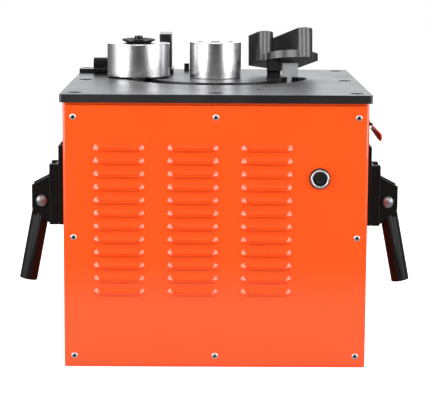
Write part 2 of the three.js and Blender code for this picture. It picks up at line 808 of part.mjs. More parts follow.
function makeCradle() {
  const [wide, deep] = [cradleWidth * half, cradleDepth * half];
  const legReach = cradleLeg + cradleLegInset;
  let cradle = raised(roundedRectangle(-wide, wide, -deep, deep, cradleLegInset), cradleBottom, cradleTop);
  for (const sideX of [-1, 1]) {
    for (const sideY of [-1, 1]) {
      const [x0, x1] = [sideX * (wide - cradleLegInset), sideX * (wide - legReach)].sort((a, b) => a - b);
      const [y0, y1] = [sideY * (deep - cradleLegInset), sideY * (deep - legReach)].sort((a, b) => a - b);
      cradle = join(cradle, block(x0, x1, y0, y1, cradleBottom, plateUnder - fitGap));
    }
  }
  const spindleHole = uprightRod(centrePinJournalRadius + cradleSpindleClear, centreX, centreY,
    cradleBottom - overrun, cradleTop + overrun, roundSteps);
  const shaftHole = uprightRod(pinionShaftRadius + fitGap + fitGap, pinionX, pinionY,
    cradleBottom - overrun, cradleTop + overrun, roundSteps);
  add('gear_cradle', cut(cradle, spindleHole, shaftHole), 'iron');
}

// Gearbox, motor, cowl and terminal box

function gearboxTop() {
  return cradleBottom - fitGap;
}

function motorAxisZ() {
  return gearboxTop() - gearboxFlangeThick - (gearboxHigh - gearboxFlangeThick) * half;
}

function makeDrive() {
  const top = gearboxTop();
  const [wide, deep] = [gearboxWidth * half, gearboxDepth * half];
  const widen = gearboxFlangeWiden;
  const caseBody = raised(
    roundedRectangle(pinionX - wide, pinionX + wide, gearboxY - deep, gearboxY + deep, gearboxEdge),
    top - gearboxHigh, top);
  const flange = raised(
    roundedRectangle(pinionX - wide - widen, pinionX + wide + widen, gearboxY - deep, gearboxY + deep, gearboxEdge),
    top - gearboxFlangeThick, top);
  const ribs = Array.from({ length: gearboxRibs }, (_, i) => {
    const middle = gearboxY + (deep * (i - (gearboxRibs - 1) * half)) / gearboxRibs;
    return block(pinionX - wide - gearboxRibRise, pinionX + wide + gearboxRibRise,
      middle - gearboxRibThick * half, middle + gearboxRibThick * half,
      top - gearboxHigh + gearboxEdge, top - gearboxFlangeThick * half);
  });
  const shaftHole = uprightRod(pinionShaftRadius + fitGap, pinionX, pinionY,
    top - gearboxHigh * half - fitGap, top + overrun, roundSteps);
  add('gearbox_housing', cut(join(caseBody, flange, ...ribs), shaftHole), 'iron');

  const motorStart = gearboxY + deep + fitGap;
  const motorEnd = motorStart + motorLong;
  const axisZ = motorAxisZ();
  let motor = join(
    depthRod(motorFlangeRadius, pinionX, motorStart, motorStart + motorFlangeThick, axisZ, roundSteps),
    depthRod(motorRadius - motorFinRise, pinionX, motorStart, motorEnd, axisZ, roundSteps),
  );
  const boxX = pinionX + motorRadius + fitGap;
  const boxMiddle = (motorStart + motorEnd) * half;
  const [boxWide, boxDeep] = [terminalWide * half, terminalDeep * half];
  const pad = block(pinionX, pinionX + motorRadius, boxMiddle - boxDeep * motorPadShare,
    boxMiddle + boxDeep * motorPadShare, axisZ - boxWide * motorPadShare, axisZ + boxWide * motorPadShare);
  motor = join(motor, pad);
  const finFoot = (motorRadius - motorFinRise) * half;
  for (let i = 0; i < motorFins; i += 1) {
    const fin = block(finFoot, motorRadius, motorStart + motorFlangeThick * half, motorEnd - motorFlangeThick,
      -motorFinThick * half, motorFinThick * half);
    const tilt = ((i + half) * 360) / motorFins;
    motor = join(motor, fin.rotate([0, tilt, 0]).translate([pinionX, 0, axisZ]));
  }
  add('motor_body', motor, 'motorPaint');

  const cowlStart = motorEnd - motorFlangeThick + fitGap;
  const cowlEnd = motorEnd + motorCowlLong;
  let cowl = cut(
    depthRod(motorCowlRadius, pinionX, cowlStart, cowlEnd, axisZ, roundSteps),
    depthRod(motorCowlRadius - motorCowlWall, pinionX, cowlStart - overrun, cowlEnd - motorCowlWall, axisZ, roundSteps),
  );
  const slot = block(cowlSlotInner, cowlSlotOuter, cowlEnd - motorCowlLong * half, cowlEnd + overrun,
    -cowlSlotWide * half, cowlSlotWide * half);
  for (let i = 0; i < cowlSlots; i += 1) {
    cowl = cut(cowl, slot.rotate([0, (i * 360) / cowlSlots, 0]).translate([pinionX, 0, axisZ]));
  }
  add('motor_cowl', cowl, 'motorPaint');

  add('terminal_box', sideways(roundedRectangle(boxX, boxX + terminalHigh, axisZ - boxWide, axisZ + boxWide,
    terminalRound), boxMiddle - boxDeep, boxMiddle + boxDeep), 'plastic');
}

// Cabinet shell: sides and back of folded sheet, with front returns and a flange under the plate

function makeCabinet() {
  const inner = cabinetSide - sheet;
  const radius = cabinetCornerRadius;
  const outline = roundedRectangle(-cabinetSide, cabinetSide, flangeFront, cabinetBack, radius);
  const cavity = roundedRectangle(-inner, inner, flangeFront + sheet, cabinetBack - sheet, radius - sheet);
  const openTop = roundedRectangle(-cabinetSide + topFlange, cabinetSide - topFlange,
    flangeFront + topFlange, cabinetBack - topFlange, radius);
  let shell = raised(outline, 0, cabinetTop);
  shell = cut(shell, raised(cavity, -overrun, cabinetTop - sheet));
  shell = cut(shell, raised(openTop, cabinetTop - sheet - overrun, cabinetTop + overrun));
  const frontReach = cabinetSide - frontReturn;
  shell = cut(shell, block(-frontReach, frontReach, flangeFront - overrun, flangeFront + sheet + overrun,
    frontReturn, cabinetTop - frontReturn));
  const switchHole = block(cabinetSide - sheet - overrun, cabinetSide + overrun,
    switchY - switchBodyWide * half - fitGap, switchY + switchBodyWide * half + fitGap,
    switchMiddleZ() - switchBodyHigh * half - fitGap, switchMiddleZ() + switchBodyHigh * half + fitGap);
  const glandHole = depthRod(glandRadius + fitGap, glandX, cabinetBack - sheet - overrun, cabinetBack + overrun, glandZ);
  add('cabinet_shell', cut(shell, switchHole, glandHole), 'orange');
}

function makeBase() {
  const inner = cabinetSide - sheet - fitGap;
  const front = flangeFront + sheet + fitGap;
  const back = cabinetBack - sheet - fitGap;
  const radius = cabinetCornerRadius - sheet;
  const floor = raised(roundedRectangle(-inner, inner, front, back, radius), 0, baseThick);
  const lipOuter = raised(roundedRectangle(-inner, inner, front, back, radius), 0, baseLip);
  const lipInner = raised(roundedRectangle(-inner + baseThick, inner - baseThick, front + baseThick,
    back - baseThick, radius), baseThick, baseLip + overrun);
  add('base_plate', join(floor, cut(lipOuter, lipInner)), 'orange');
}

// Louvred front panel. A hood is a quarter of a rounded ridge, hollow and open underneath.

function hoodBody(wide, high, rise, drop, root) {
  const points = drop ? [[-root, -drop], [rise, -drop]] : [[-root, 0]];
  for (let i = 0; i <= louvreSteps; i += 1) {
    const angle = (turn / 4) * (i / louvreSteps);
    points.push([rise * Math.cos(angle), high * Math.sin(angle)]);
  }
  points.push([-root, high]);
  const endReach = high;
  const straight = wide * half - endReach;
  const ridge = new THREE.ExtrudeGeometry(polygon(points), { depth: straight + straight, bevelEnabled: false });
  ridge.rotateX(turn / 4);
  ridge.rotateZ(-turn / 4);
  ridge.translate(straight, 0, 0);
  const end = new THREE.LatheGeometry(points.slice(0, -1).map(([r, h]) => new THREE.Vector2(Math.max(r, 0), h)),
    louvreEndSteps);
  end.rotateX(turn / 4);
  end.scale(endReach / rise, 1, 1);
  const back = block(-wide, wide, root, rise + rise, -drop - overrun, high + overrun);
  const ends = [-straight, straight].map((x) => body(end).translate([x, 0, 0]));
  return join(body(ridge), ...ends.map((one) => one.subtract(back)));
}

function louvrePlaces() {
  const places = [];
  for (let column = 0; column < louvreColumns; column += 1) {
    for (let row = 0; row < louvreRows; row += 1) {
      const x = louvreMiddleX + louvrePitchX * (column - (louvreColumns - 1) * half);
      places.push([x, louvreLowestZ + louvrePitchZ * row]);
    }
  }
  return places;
}

function makeFrontPanel() {
  const wide = cabinetSide - panelSideInset;
  const outline = roundedRectangle(-wide, wide, panelEndInset, cabinetTop - panelEndInset, panelCornerRadius);
  const flat = sideways(outline, cabinetFront, panelBack);
  const outer = hoodBody(louvreWide, louvreHigh, louvreRise, 0, sheet * half);
  const inner = hoodBody(louvreWide - louvreWall - louvreWall, louvreHigh - louvreWall, louvreRise - louvreWall, overrun, 0);
  const through = block(-louvreWide * half + louvreHigh, louvreWide * half - louvreHigh,
    -louvreWall, sheet + overrun, -overrun * half, louvreHigh - louvreWall - louvreWall);
  const hollow = join(inner, through);
  let panel = flat;
  for (const [x, z] of louvrePlaces()) panel = join(panel, outer.translate([x, cabinetFront, z]));
  for (const [x, z] of louvrePlaces()) panel = cut(panel, hollow.translate([x, cabinetFront, z]));
  const socketHole = depthRod(socketNeckRadius + fitGap, socketX, cabinetFront - overrun, panelBack + overrun, socketZ,
    roundSteps);
  add('front_panel', cut(panel, socketHole), 'orange');
}

// Foot-pedal socket

function makePedalSocket() {
  const ringFront = cabinetFront - fitGap - socketRingRise;
  const ring = cut(
    depthRod(socketRingRadius, socketX, ringFront, cabinetFront - fitGap, socketZ, roundSteps),
    depthRod(socketNeckRadius + fitGap, socketX, ringFront - overrun, cabinetFront, socketZ, roundSteps),
  );
  add('pedal_socket_ring', ring, 'plastic');

  const front = ringFront - fitGap - socketInsertRise;
  const neckEnd = front + socketInsertRise + socketNeckLong;
  const pocketEnd = front + socketDeep;
  let insert = join(
    depthRod(socketInsertRadius, socketX, front, front + socketInsertRise, socketZ, roundSteps),
    depthRod(socketNeckRadius, socketX, front, neckEnd, socketZ, roundSteps),
  );
  insert = cut(insert, depthRod(socketNeckRadius - socketWall, socketX, front - overrun, pocketEnd, socketZ, roundSteps));
  for (let i = 0; i < socketPins; i += 1) {
    const angle = (turn * (i + half)) / socketPins;
    const [x, z] = [socketX + socketPinCircle * Math.cos(angle), socketZ + socketPinCircle * Math.sin(angle)];
    insert = join(insert, depthRod(socketPinRadius, x, pocketEnd - socketPinLong, pocketEnd + overrun, z, cornerSteps * 2));
  }
  add('pedal_socket_insert', insert, 'zinc');
}

// Switch with a flap over its two buttons. The flap is drawn hanging shut, then swung open.

function switchMiddleZ() {
  return switchTop - switchHigh * half;
}

function buttonLimits() {
  const face = cabinetSide + fitGap + switchFlange;
  const middle = switchTop - flapPinDrop - buttonDrop;
  const offset = (buttonWide + buttonApart) * half;
  return [[switchY - offset, 'stop_button', 'redPlastic'], [switchY + offset, 'start_button', 'greenPlastic']]
    .map(([y, name, finish]) => ({
      name,
      finish,
      x: [face + buttonRise - buttonDeep, face + buttonRise],
      y: [y - buttonWide * half, y + buttonWide * half],
      z: [middle - buttonHigh * half, middle + buttonHigh * half],
    }));
}

function makeSwitch() {
  const wallX = cabinetSide + fitGap;
  const face = wallX + switchFlange;
  const [wide, middle] = [switchWide * half, switchMiddleZ()];
  const flange = block(wallX, face, switchY - wide, switchY + wide, switchTop - switchHigh, switchTop);
  const inside = block(cabinetSide - switchBodyDeep, wallX + overrun, switchY - switchBodyWide * half,
    switchY + switchBodyWide * half, middle - switchBodyHigh * half, middle + switchBodyHigh * half);
  const [pinX, pinZ] = [face + flapPinOut, switchTop - flapPinDrop];
  const flapHalf = flapWide * half;
  const ears = [-flapHalf - fitGap - flapEarThick, flapHalf + fitGap].map((y) =>
    block(face - overrun, pinX + flapEyeRadius, switchY + y, switchY + y + flapEarThick,
      pinZ - flapEyeRadius, pinZ + flapEyeRadius));
  const pin = depthRod(flapPinRadius, pinX, switchY - flapHalf - flapEarThick, switchY + flapHalf + flapEarThick, pinZ);
  const wells = buttonLimits().map(({ x, y, z }) => block(x[0] - buttonTravel - fitGap, x[1] + overrun,
    y[0] - fitGap, y[1] + fitGap, z[0] - fitGap, z[1] + fitGap));
  add('switch_body', cut(join(flange, inside, ...ears, pin), ...wells), 'plastic');
  for (const { name, finish, x, y, z } of buttonLimits()) add(name, block(...x, ...y, ...z), finish);

  const outside = flapOutlineShares.map(([along, inward]) => [-flapDeep * inward, -flapLong * along]);
  const within = (gap) => flapOutlineShares.map(([along, inward]) =>
    [-gap - (flapDeep - gap) * inward, -(flapLong - gap) * along]);
  const swing = (solid) => solid.rotate([0, -flapOpen / degree, 0]).translate([pinX, 0, pinZ]);
  const sheetOutline = polygon([...outside, ...within(flapWall).reverse()]);
  const eyeX = -flapWall * half;
  const flap = join(
    sideways(sheetOutline, switchY - flapHalf, switchY + flapHalf),
    depthRod(flapEyeRadius, eyeX, switchY - flapHalf, switchY + flapHalf, 0),
  );
  const bore = depthRod(flapPinRadius + fitGap, eyeX, switchY - flapHalf - overrun, switchY + flapHalf + overrun, 0);
  add('switch_flap', swing(cut(flap, bore).translate([-eyeX, 0, 0])), 'redPlastic');

  const [, bend, low, tip] = within(flapWall + fitGap);
  const pusherOutline = polygon([[bend[0], -pusherStart], bend, low, tip, [bend[0] - pusherThick, -pusherStart]]);
  const pusher = sideways(pusherOutline, switchY - pusherWide * half, switchY + pusherWide * half);
  add('flap_pusher', swing(pusher.translate([-eyeX, 0, 0])), 'darkRed');
}

// Cable gland

function makeGland() {
  const wall = cabinetBack + fitGap;
  const gland = join(
    depthRod(glandRadius, glandX, cabinetBack - glandThreadLong, wall + overrun, glandZ),
    sideways(hexagon(glandHexRadius), wall, wall + glandHexThick).translate([glandX, 0, glandZ]),
    depthRod(glandCapRadius, glandX, wall + glandHexThick - overrun, wall + glandHexThick + glandCapLong, glandZ),
  );
  const bore = depthRod(glandBore, glandX, cabinetBack - glandThreadLong - overrun,
    wall + glandHexThick + glandCapLong + overrun, glandZ);
  add('cable_gland', cut(gland, bore), 'plastic');
}

function makeControlBox() {
  const back = cabinetBack - sheet - fitGap;
  const bottom = baseThick + fitGap;
  const x0 = controlX - controlWide * half;
  const x1 = controlX + controlWide * half;
  const outline = roundedRectangle(x0, x1, bottom, bottom + controlHigh, controlEdge);
  const backFace = back - baseThick - fitGap;
  const box = sideways(outline, backFace - controlDeep, backFace);
  add('control_box', box, 'plastic');
}

// Fork on its post. The swivel disc turns on the post; its tongue and cross pin carry the tilting fork.

function makeFork() {
  const base = plateTop + fitGap;
  const postTop = plateTop + forkPostHigh;
  const post = turned([
    [0, plateUnder],
    [forkSpigotRadius, plateUnder],
    [forkSpigotRadius, base],
    [forkPostRadius, base],
    [forkPostRadius, postTop],
    [0, postTop],
  ], forkPostX, centreY, 0);
  const swivelHole = uprightRod(forkSwivelSpigotRadius + fitGap, forkPostX, centreY,
    postTop - forkSwivelSpigotLong - fitGap, postTop + overrun);
  add('fork_post', cut(post, swivelHole), 'black');

  const discBottom = postTop + fitGap;
  const discTop = discBottom + forkDiscThick;
  const pinZ = plateTop + forkPinHigh;
  const swivel = join(
    uprightRod(forkPostRadius, 0, 0, discBottom, discTop, roundSteps),
    uprightRod(forkSwivelSpigotRadius, 0, 0, postTop - forkSwivelSpigotLong, discBottom + overrun),
    block(-forkTongueHalf, forkTongueHalf, -forkTongueRadius, forkTongueRadius, discBottom, pinZ),
    crossRod(forkTongueRadius, -forkTongueHalf, forkTongueHalf, 0, pinZ),
    crossRod(forkPinRadius, -forkPinHalf, forkPinHalf, 0, pinZ),
  );
  add('fork_swivel', swivel.translate([forkPostX, centreY, 0]), 'black');

  const under = plateTop + forkUnderAtPivot;
  const floorTop = under + forkThick;
  const jawTop = floorTop + forkJawHigh;
  const roundEnd = Math.asin((forkRight - forkRoundV) / forkRoundRadius);
  const floorOutline = new THREE.Shape();
  floorOutline.moveTo(forkFar, forkLeft);
  floorOutline.lineTo(forkLeftJawNear, forkLeft);
  floorOutline.lineTo(forkRoundU, forkRoundLeft);
  floorOutline.absarc(forkRoundU, forkRoundV, forkRoundRadius, -turn / 4, roundEnd);
  floorOutline.lineTo(forkFar, forkRight);
  floorOutline.closePath();
  const floor = raised(floorOutline, under, floorTop, smallSteps * half);
  const jaw = (near, v) => join(
    raised(roundedRectangle(forkJawFar, near, v - forkJawHalf, v + forkJawHalf, forkEdge), under, jawTop),
    uprightRod(forkJawHalf, near - forkEdge, v, under, jawTop, roundSteps),
  );
  const upper = join(floor, jaw(forkLeftJawNear, forkLeftJawV), jaw(forkRightJawNear, forkRightJawV))
    .rotate([0, 0, forkTurn / degree]);
  const boss = uprightRod(forkPostRadius, 0, 0, pinZ - forkBossBelowPin, under + overrun, roundSteps);
  const pocketHalf = forkTongueRadius + forkPocketRoom;
  const pocket = block(-forkTongueHalf - fitGap, forkTongueHalf + fitGap, -pocketHalf, pocketHalf,
    pinZ - forkBossBelowPin - overrun, pinZ + pocketHalf);
  const bore = crossRod(forkPinRadius + fitGap, -forkPinHalf - fitGap, forkPinHalf + fitGap, 0, pinZ);
  const tipped = cut(join(upper, boss), pocket, bore)
    .translate([0, 0, -pinZ]).rotate([-forkTilt / degree, 0, 0]).translate([forkPostX, centreY, pinZ]);
  add('fork', tipped, 'black');
}

// Fence: base bar, nut block, tall jaw, and the screw with its knurled knob

function fenceBoltPlaces() {
  const y = (fenceBarFront + fenceBarBack) * half;
  return [
    [fenceBarLeft + fenceBoltInset, y, plateTop + fenceBarThick],
    [(fenceBlockLeft + fenceBlockRight) * half, y, plateTop + fenceBlockTop],
  ];
}

function makeFence() {
  const base = plateTop + fitGap;
  const bar = block(fenceBarLeft, fenceBlockRight, fenceBarFront, fenceBarBack, base, plateTop + fenceBarThick);
  const boltHoles = fenceBoltPlaces().flatMap(([x, y, top]) => [
    uprightRod(fenceBoltShank + fitGap, x, y, plateTop, top),
    uprightRod(fenceBoltRadius + fenceBoltClear, x, y, top - fenceBoltHigh - fitGap, top + overrun),
  ]);
  const nutBlock = block(fenceBlockLeft, fenceBlockRight, fenceBlockFront, fenceBarBack, base, plateTop + fenceBlockTop);
  const screwZ = plateTop + fenceScrewZ;
  const nutBore = crossRod(fenceScrewRadius + fitGap, fenceBlockLeft - overrun, fenceBlockRight + overrun,
    fenceScrewY, screwZ, roundSteps);
  add('fence_base', cut(join(bar, nutBlock), ...boltHoles, nutBore), 'black');

  fenceBoltPlaces().forEach(([x, y, top], i) => {
    const bolt = join(
      uprightRod(fenceBoltRadius, x, y, top - fenceBoltHigh, top - fitGap),
      uprightRod(fenceBoltShank, x, y, plateUnder, top - fitGap),
    );
    const socket = raised(hexagon(fenceBoltRadius * half), top - fenceBoltHigh * half, top + overrun)
      .translate([x, y, 0]);
    add(`fence_bolt_${i + 1}`, cut(bolt, socket), 'black');
  });

  const sunk = fenceJawLeft + fenceScrewEndSink;
  const jaw = join(
    raised(roundedRectangle(fenceJawLeft, fenceJawRight, fenceJawFront, fenceJawBack, fenceJawEdge),
      base, plateTop + fenceJawHigh),
    raised(roundedRectangle(fenceJawLeft, fenceJawRight + fenceJawFootReach, fenceJawFront, fenceJawBack,
      fenceJawEdge), base, plateTop + fenceJawFootRise),
  );
  const socket = crossRod(fenceScrewRadius + fitGap, fenceJawLeft - overrun, sunk + fitGap, fenceScrewY, screwZ, roundSteps);
  add('fence_jaw', cut(jaw, socket), 'black');

  const flutes = polygon(Array.from({ length: knurlFlutes * 2 }, (_, i) => {
    const angle = (turn * i) / (knurlFlutes * 2);
    const radius = i % 2 ? fenceKnobRadius - knurlDeep : fenceKnobRadius;
    return [radius * Math.cos(angle), radius * Math.sin(angle)];
  }));
  const knob = raised(flutes, fenceKnobLeft + fenceKnobEdge, fenceKnobRight - fenceKnobEdge)
    .rotate([0, 90, 0]).translate([0, fenceScrewY, screwZ]);
  const knobCore = crossRod(fenceKnobRadius - knurlDeep, fenceKnobLeft, fenceKnobRight, fenceScrewY, screwZ, roundSteps);
  const spindle = crossRod(fenceScrewRadius, fenceKnobRight - overrun, sunk, fenceScrewY, screwZ, roundSteps);
  add('fence_screw', join(knobCore, knob, spindle), 'black');
}

function tailMiddle() {
  return [(tailLeft + tailRight) * half, (tailFront + tailBack) * half];
}

function makeTailPeg() {
  const [x, y] = tailMiddle();
  const peg = join(
    block(tailLeft, tailRight, tailFront, tailBack, plateTop + fitGap, plateTop + tailHigh),
    uprightRod(tailSpigotRadius, x, y, plateUnder, plateTop + overrun),
  );
  add('tail_peg', peg, 'black');
}

// Limit lever: a flat paddle on a stem that pivots under the plate, and the switch that it works

function makeLimitSwitch() {
  const pivotZ = plateUnder - leverPivotDrop;
  const capRadius = slotWidth * half;
  const stemX = centreX + slotMidRadius * Math.cos(slotEndAngle) - capRadius * leverInShare;
  const y0 = centreY + slotMidRadius * Math.sin(slotEndAngle) + capRadius * leverBackShare;
  const y1 = y0 + leverThick;
  const stemHalf = slotWidth * leverStemShare * half;
  const [leverStemLeft, leverStemRight] = [stemX - stemHalf, stemX + stemHalf];
  const lever = join(
    block(stemX - slotWidth * leverLeftShare, stemX + slotWidth * leverRightShare, y0, y1, plateTop + leverBottom, plateTop + leverTop),
    block(leverStemLeft, leverStemRight, y0, y1, pivotZ, plateTop + leverTop),
    crossRod(leverEyeRadius, leverStemLeft, leverStemRight, (y0 + y1) * half, pivotZ),
  );
  const eye = crossRod(leverPinRadius + fitGap, leverStemLeft - overrun, leverStemRight + overrun,
    (y0 + y1) * half, pivotZ);
  add('limit_lever', cut(lever, eye), 'zinc');

  const bodyTop = plateUnder - fitGap;
  const middleY = (y0 + y1) * half;
  const caseFront = middleY + leverEyeRadius + limitBodyClear;
  const caseOutline = roundedRectangle(stemX - limitBodyLeft, stemX + limitBodyRight, bodyTop - limitBodyHigh, bodyTop,
    limitBodyRound);
  const earLeft = leverStemRight + fitGap;
  const ear = block(earLeft, earLeft + limitEarThick, middleY - leverEyeRadius, caseFront + overrun,
    pivotZ - leverEyeRadius, pivotZ + leverEyeRadius);
  const shaft = crossRod(leverPinRadius, leverStemLeft, earLeft + overrun, middleY, pivotZ);
  add('limit_switch', join(sideways(caseOutline, caseFront, caseFront + limitBodyDeep), ear, shaft), 'plastic');
}

// Carry handles, built on the right and mirrored to the left

function handlePieces() {
  const wallX = cabinetSide + fitGap;
  const reachX = cabinetSide + handleMountReach;
  const [y0, y1] = [-handleMountHalf, handleMountHalf];
  const hat = join(
    block(wallX, wallX + handleMountWall, y0 - handleFlange, y1 + handleFlange, handleMountBottom, handleMountTop),
    block(wallX, reachX, y0, y0 + handleMountWall, handleMountBottom, handleMountTop),
    block(wallX, reachX, y1 - handleMountWall, y1, handleMountBottom, handleMountTop),
    block(reachX - handleMountWall, reachX, y0, y1, handleMountBottom, handleMountTop),
  );
  const mount = cut(hat, block(wallX - overrun, wallX + handleMountWall + overrun, y0 + handleMountWall,
    y1 - handleMountWall, handleMountBottom - overrun, handleMountTop + overrun));

  const cheekHalf = cheekGap * half;
  const channelBack = reachX + fitGap;
  const channelFront = channelBack + channelDeep;
  const channelTop = handleMountTop - channelTopDrop;
  const [cheekTopX, cheekTopZ] = [cabinetSide + cheekTopOut, handleMountTop - cheekTopDrop];
  const [cheekNoseX, cheekNoseZ] = [cabinetSide + cheekNoseOut, handleMountTop - cheekNoseDrop];
  const cheekLowZ = handleMountTop - cheekLowDrop;
  const [handleBoltX, handleBoltZ] = [cabinetSide + handleBoltOut, handleMountTop - handleBoltDrop];
  const [gripEndX, gripEndZ] = [cabinetSide + gripEndOut, handleMountTop - gripEndDrop];
  const back = block(channelBack, channelBack + channelWall, y0, y1, handleMountBottom, channelTop);
  const lips = [y0, y1 - channelWall].map((y) =>
    block(channelBack, channelFront, y, y + channelWall, handleMountBottom, channelTop));
  const cheekOutline = polygon([
    [channelBack, handleMountBottom],
    [channelFront, handleMountBottom],
    [cheekNoseX, cheekLowZ],
    [cheekNoseX, cheekNoseZ],
    [cheekTopX, cheekTopZ],
    [channelFront, channelTop],
    [channelBack, channelTop],
  ]);
  const boltHole = depthRod(handleBoltRadius + fitGap, handleBoltX, y0, y1, handleBoltZ);
  const bracket = cut(join(
    back,
    ...lips,
    sideways(cheekOutline, -cheekHalf - cheekThick, -cheekHalf),
    sideways(cheekOutline, cheekHalf, cheekHalf + cheekThick),
  ), boltHole);

  const lean = Math.atan2(gripEndX - handleBoltX, handleBoltZ - gripEndZ);
  const long = Math.hypot(gripEndX - handleBoltX, handleBoltZ - gripEndZ);
  const eyeHalf = cheekHalf - gripEyeClear;
  const tubeTop = -gripEyeRadius - gripEyeClear;
  const place = (solid) => solid.rotate([0, -lean / degree, 0]).translate([handleBoltX, 0, handleBoltZ]);
  const eye = join(
    depthRod(gripEyeRadius, 0, -eyeHalf, eyeHalf, 0, roundSteps),
    block(-gripEyeRadius, gripEyeRadius, -eyeHalf, eyeHalf, tubeTop - gripRadius, 0),
  );
  const tube = cut(
    join(eye, uprightRod(gripRadius, 0, 0, -long, tubeTop, roundSteps)),
    uprightRod(gripRadius - gripWall, 0, 0, -long - overrun, tubeTop - gripRadius - gripWall, roundSteps),
    depthRod(handleBoltRadius + fitGap, 0, -gripRadius, gripRadius, 0),
  );
  const plug = join(
    uprightRod(gripRadius, 0, 0, -long - fitGap - gripPlugRim, -long - fitGap, roundSteps),
    uprightRod(gripRadius - gripWall - fitGap, 0, 0, -long - fitGap - overrun, -long + gripPlugLong, roundSteps),
  );

  const seat = cheekHalf + cheekThick + fitGap;
  const dome = turned([
    [0, 0],
    [handleBoltHead, 0],
    [handleBoltHead, handleBoltDome * half * half],
    [handleBoltHead * half + handleBoltRadius * half, handleBoltDome * half + handleBoltDome * half * half],
    [0, handleBoltDome],
  ], 0, 0, 0).rotate([90, 0, 0]).translate([handleBoltX, -seat, handleBoltZ]);
  const nutStart = seat;
  const shankEnd = nutStart + handleNutThick + fitGap;
  const bolt = join(dome, depthRod(handleBoltRadius, handleBoltX, -seat - overrun, shankEnd, handleBoltZ));
  const nut = cut(
    sideways(hexagon(handleNutRadius), nutStart, nutStart + handleNutThick).translate([handleBoltX, 0, handleBoltZ]),
    depthRod(handleBoltRadius + fitGap, handleBoltX, nutStart - overrun, shankEnd + overrun, handleBoltZ),
  );
  return [
    ['handle_mount', mount, 'black'],
    ['handle_bracket', bracket, 'black'],
    ['handle_tube', place(tube), 'grip'],
    ['handle_plug', place(plug), 'grip'],
    ['handle_bolt', bolt, 'black'],
    ['handle_nut', nut, 'black'],
  ];
}

function makeHandles() {
  for (const [name, solid, finish] of handlePieces()) {
    add(`right_${name}`, solid, finish);
    add(`left_${name}`, solid.mirror([1, 0, 0]), finish);
  }
}

makeCabinet();
makeBase();
makeFrontPanel();
makeTopPlate();
makePlateBolts();
makeCentre();
makeBendingRoller();
makeGears();
makeCradle();
makeDrive();
makePedalSocket();
makeSwitch();
makeGland();
makeControlBox();
makeFork();
makeFence();
makeTailPeg();
makeLimitSwitch();
makeHandles();

export default bender;
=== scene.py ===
# %% [markdown]
# # Electric table-top rebar bender
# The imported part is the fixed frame. This notebook puts a camera, light and materials round it and models
# the finer pieces: the louvred panel, the rollers, the fork, the fence screw, the bolts and the handles.

import json
import math

import bmesh
import bpy
from mathutils import Matrix, Vector


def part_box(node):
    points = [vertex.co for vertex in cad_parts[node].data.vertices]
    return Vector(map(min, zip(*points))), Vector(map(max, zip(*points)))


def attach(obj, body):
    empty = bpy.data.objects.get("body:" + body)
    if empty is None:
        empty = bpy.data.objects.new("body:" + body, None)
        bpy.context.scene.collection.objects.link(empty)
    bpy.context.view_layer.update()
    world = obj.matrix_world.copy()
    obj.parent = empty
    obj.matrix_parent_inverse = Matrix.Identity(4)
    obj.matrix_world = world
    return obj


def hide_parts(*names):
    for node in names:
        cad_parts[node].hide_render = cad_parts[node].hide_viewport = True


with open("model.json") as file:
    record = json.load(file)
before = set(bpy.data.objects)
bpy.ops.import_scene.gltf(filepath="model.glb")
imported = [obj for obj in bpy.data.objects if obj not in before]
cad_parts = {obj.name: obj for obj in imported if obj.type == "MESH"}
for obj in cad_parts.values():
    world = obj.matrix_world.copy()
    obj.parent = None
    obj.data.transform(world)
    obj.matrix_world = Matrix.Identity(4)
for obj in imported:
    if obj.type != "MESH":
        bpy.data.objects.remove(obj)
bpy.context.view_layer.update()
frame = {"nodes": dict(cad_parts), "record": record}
MM = 0.001

# %% [markdown]
# ## Camera
# The photo was taken from about 2.4 m in front, a little above the table, with a long lens.
# The values come from a fit to points on the table, the rollers and the cabinet.

# %% Camera
PHOTO_WIDE = 430
PHOTO_FOCAL = 1657.0
SENSOR = 36.0
PITCH, YAW, ROLL = 0.15585, 0.00459, -0.00547
CAMERA_PLACE = Vector((-0.01164, -2.60463, 0.62133))
SEEN_TO = 30

forward = Vector((math.sin(YAW) * math.cos(PITCH), math.cos(YAW) * math.cos(PITCH), -math.sin(PITCH)))
right = Vector((math.cos(YAW), -math.sin(YAW), 0))
down = forward.cross(right)
across = math.cos(ROLL) * right + math.sin(ROLL) * down
below = -math.sin(ROLL) * right + math.cos(ROLL) * down

bpy.ops.object.camera_add(location=CAMERA_PLACE)
camera = bpy.context.object
camera.name = "photo_camera"
camera.matrix_world = Matrix.Translation(CAMERA_PLACE) @ Matrix(
    [(across[i], -below[i], -forward[i]) for i in range(3)]
).to_4x4()
camera.data.sensor_width = SENSOR
camera.data.lens = SENSOR * PHOTO_FOCAL / PHOTO_WIDE
camera.data.clip_end = SEEN_TO
bpy.context.scene.camera = camera
print("lens mm", round(camera.data.lens, 1))

# %% [markdown]
# ## Studio
# To the camera the floor and the air behind are white. To polished steel the studio shows what a real one
# has: bright walls left and right, a dark gap behind the camera, darker corners at the back, a white
# backdrop behind the machine and a pale table just in front. One node group works out the bright and dark
# directions, and both the floor and the air use it, so that the bands meet.

# %% Node helpers


def node_tree(block):
    block.use_nodes = True
    block.node_tree.nodes.clear()
    return block.node_tree


def add_node(tree, kind, values=None, **fields):
    node = tree.nodes.new(kind)
    for key, value in fields.items():
        setattr(node, key, value)
    for key, value in (values or {}).items():
        node.inputs[key].default_value = value
    return node


def ramp(tree, source, low, high, at_low, at_high):
    node = add_node(tree, "ShaderNodeMapRange", interpolation_type="SMOOTHSTEP")
    for label, value in (("From Min", low), ("From Max", high), ("To Min", at_low), ("To Max", at_high)):
        node.inputs[label].default_value = value
    tree.links.new(source, node.inputs["Value"])
    return node.outputs[0]


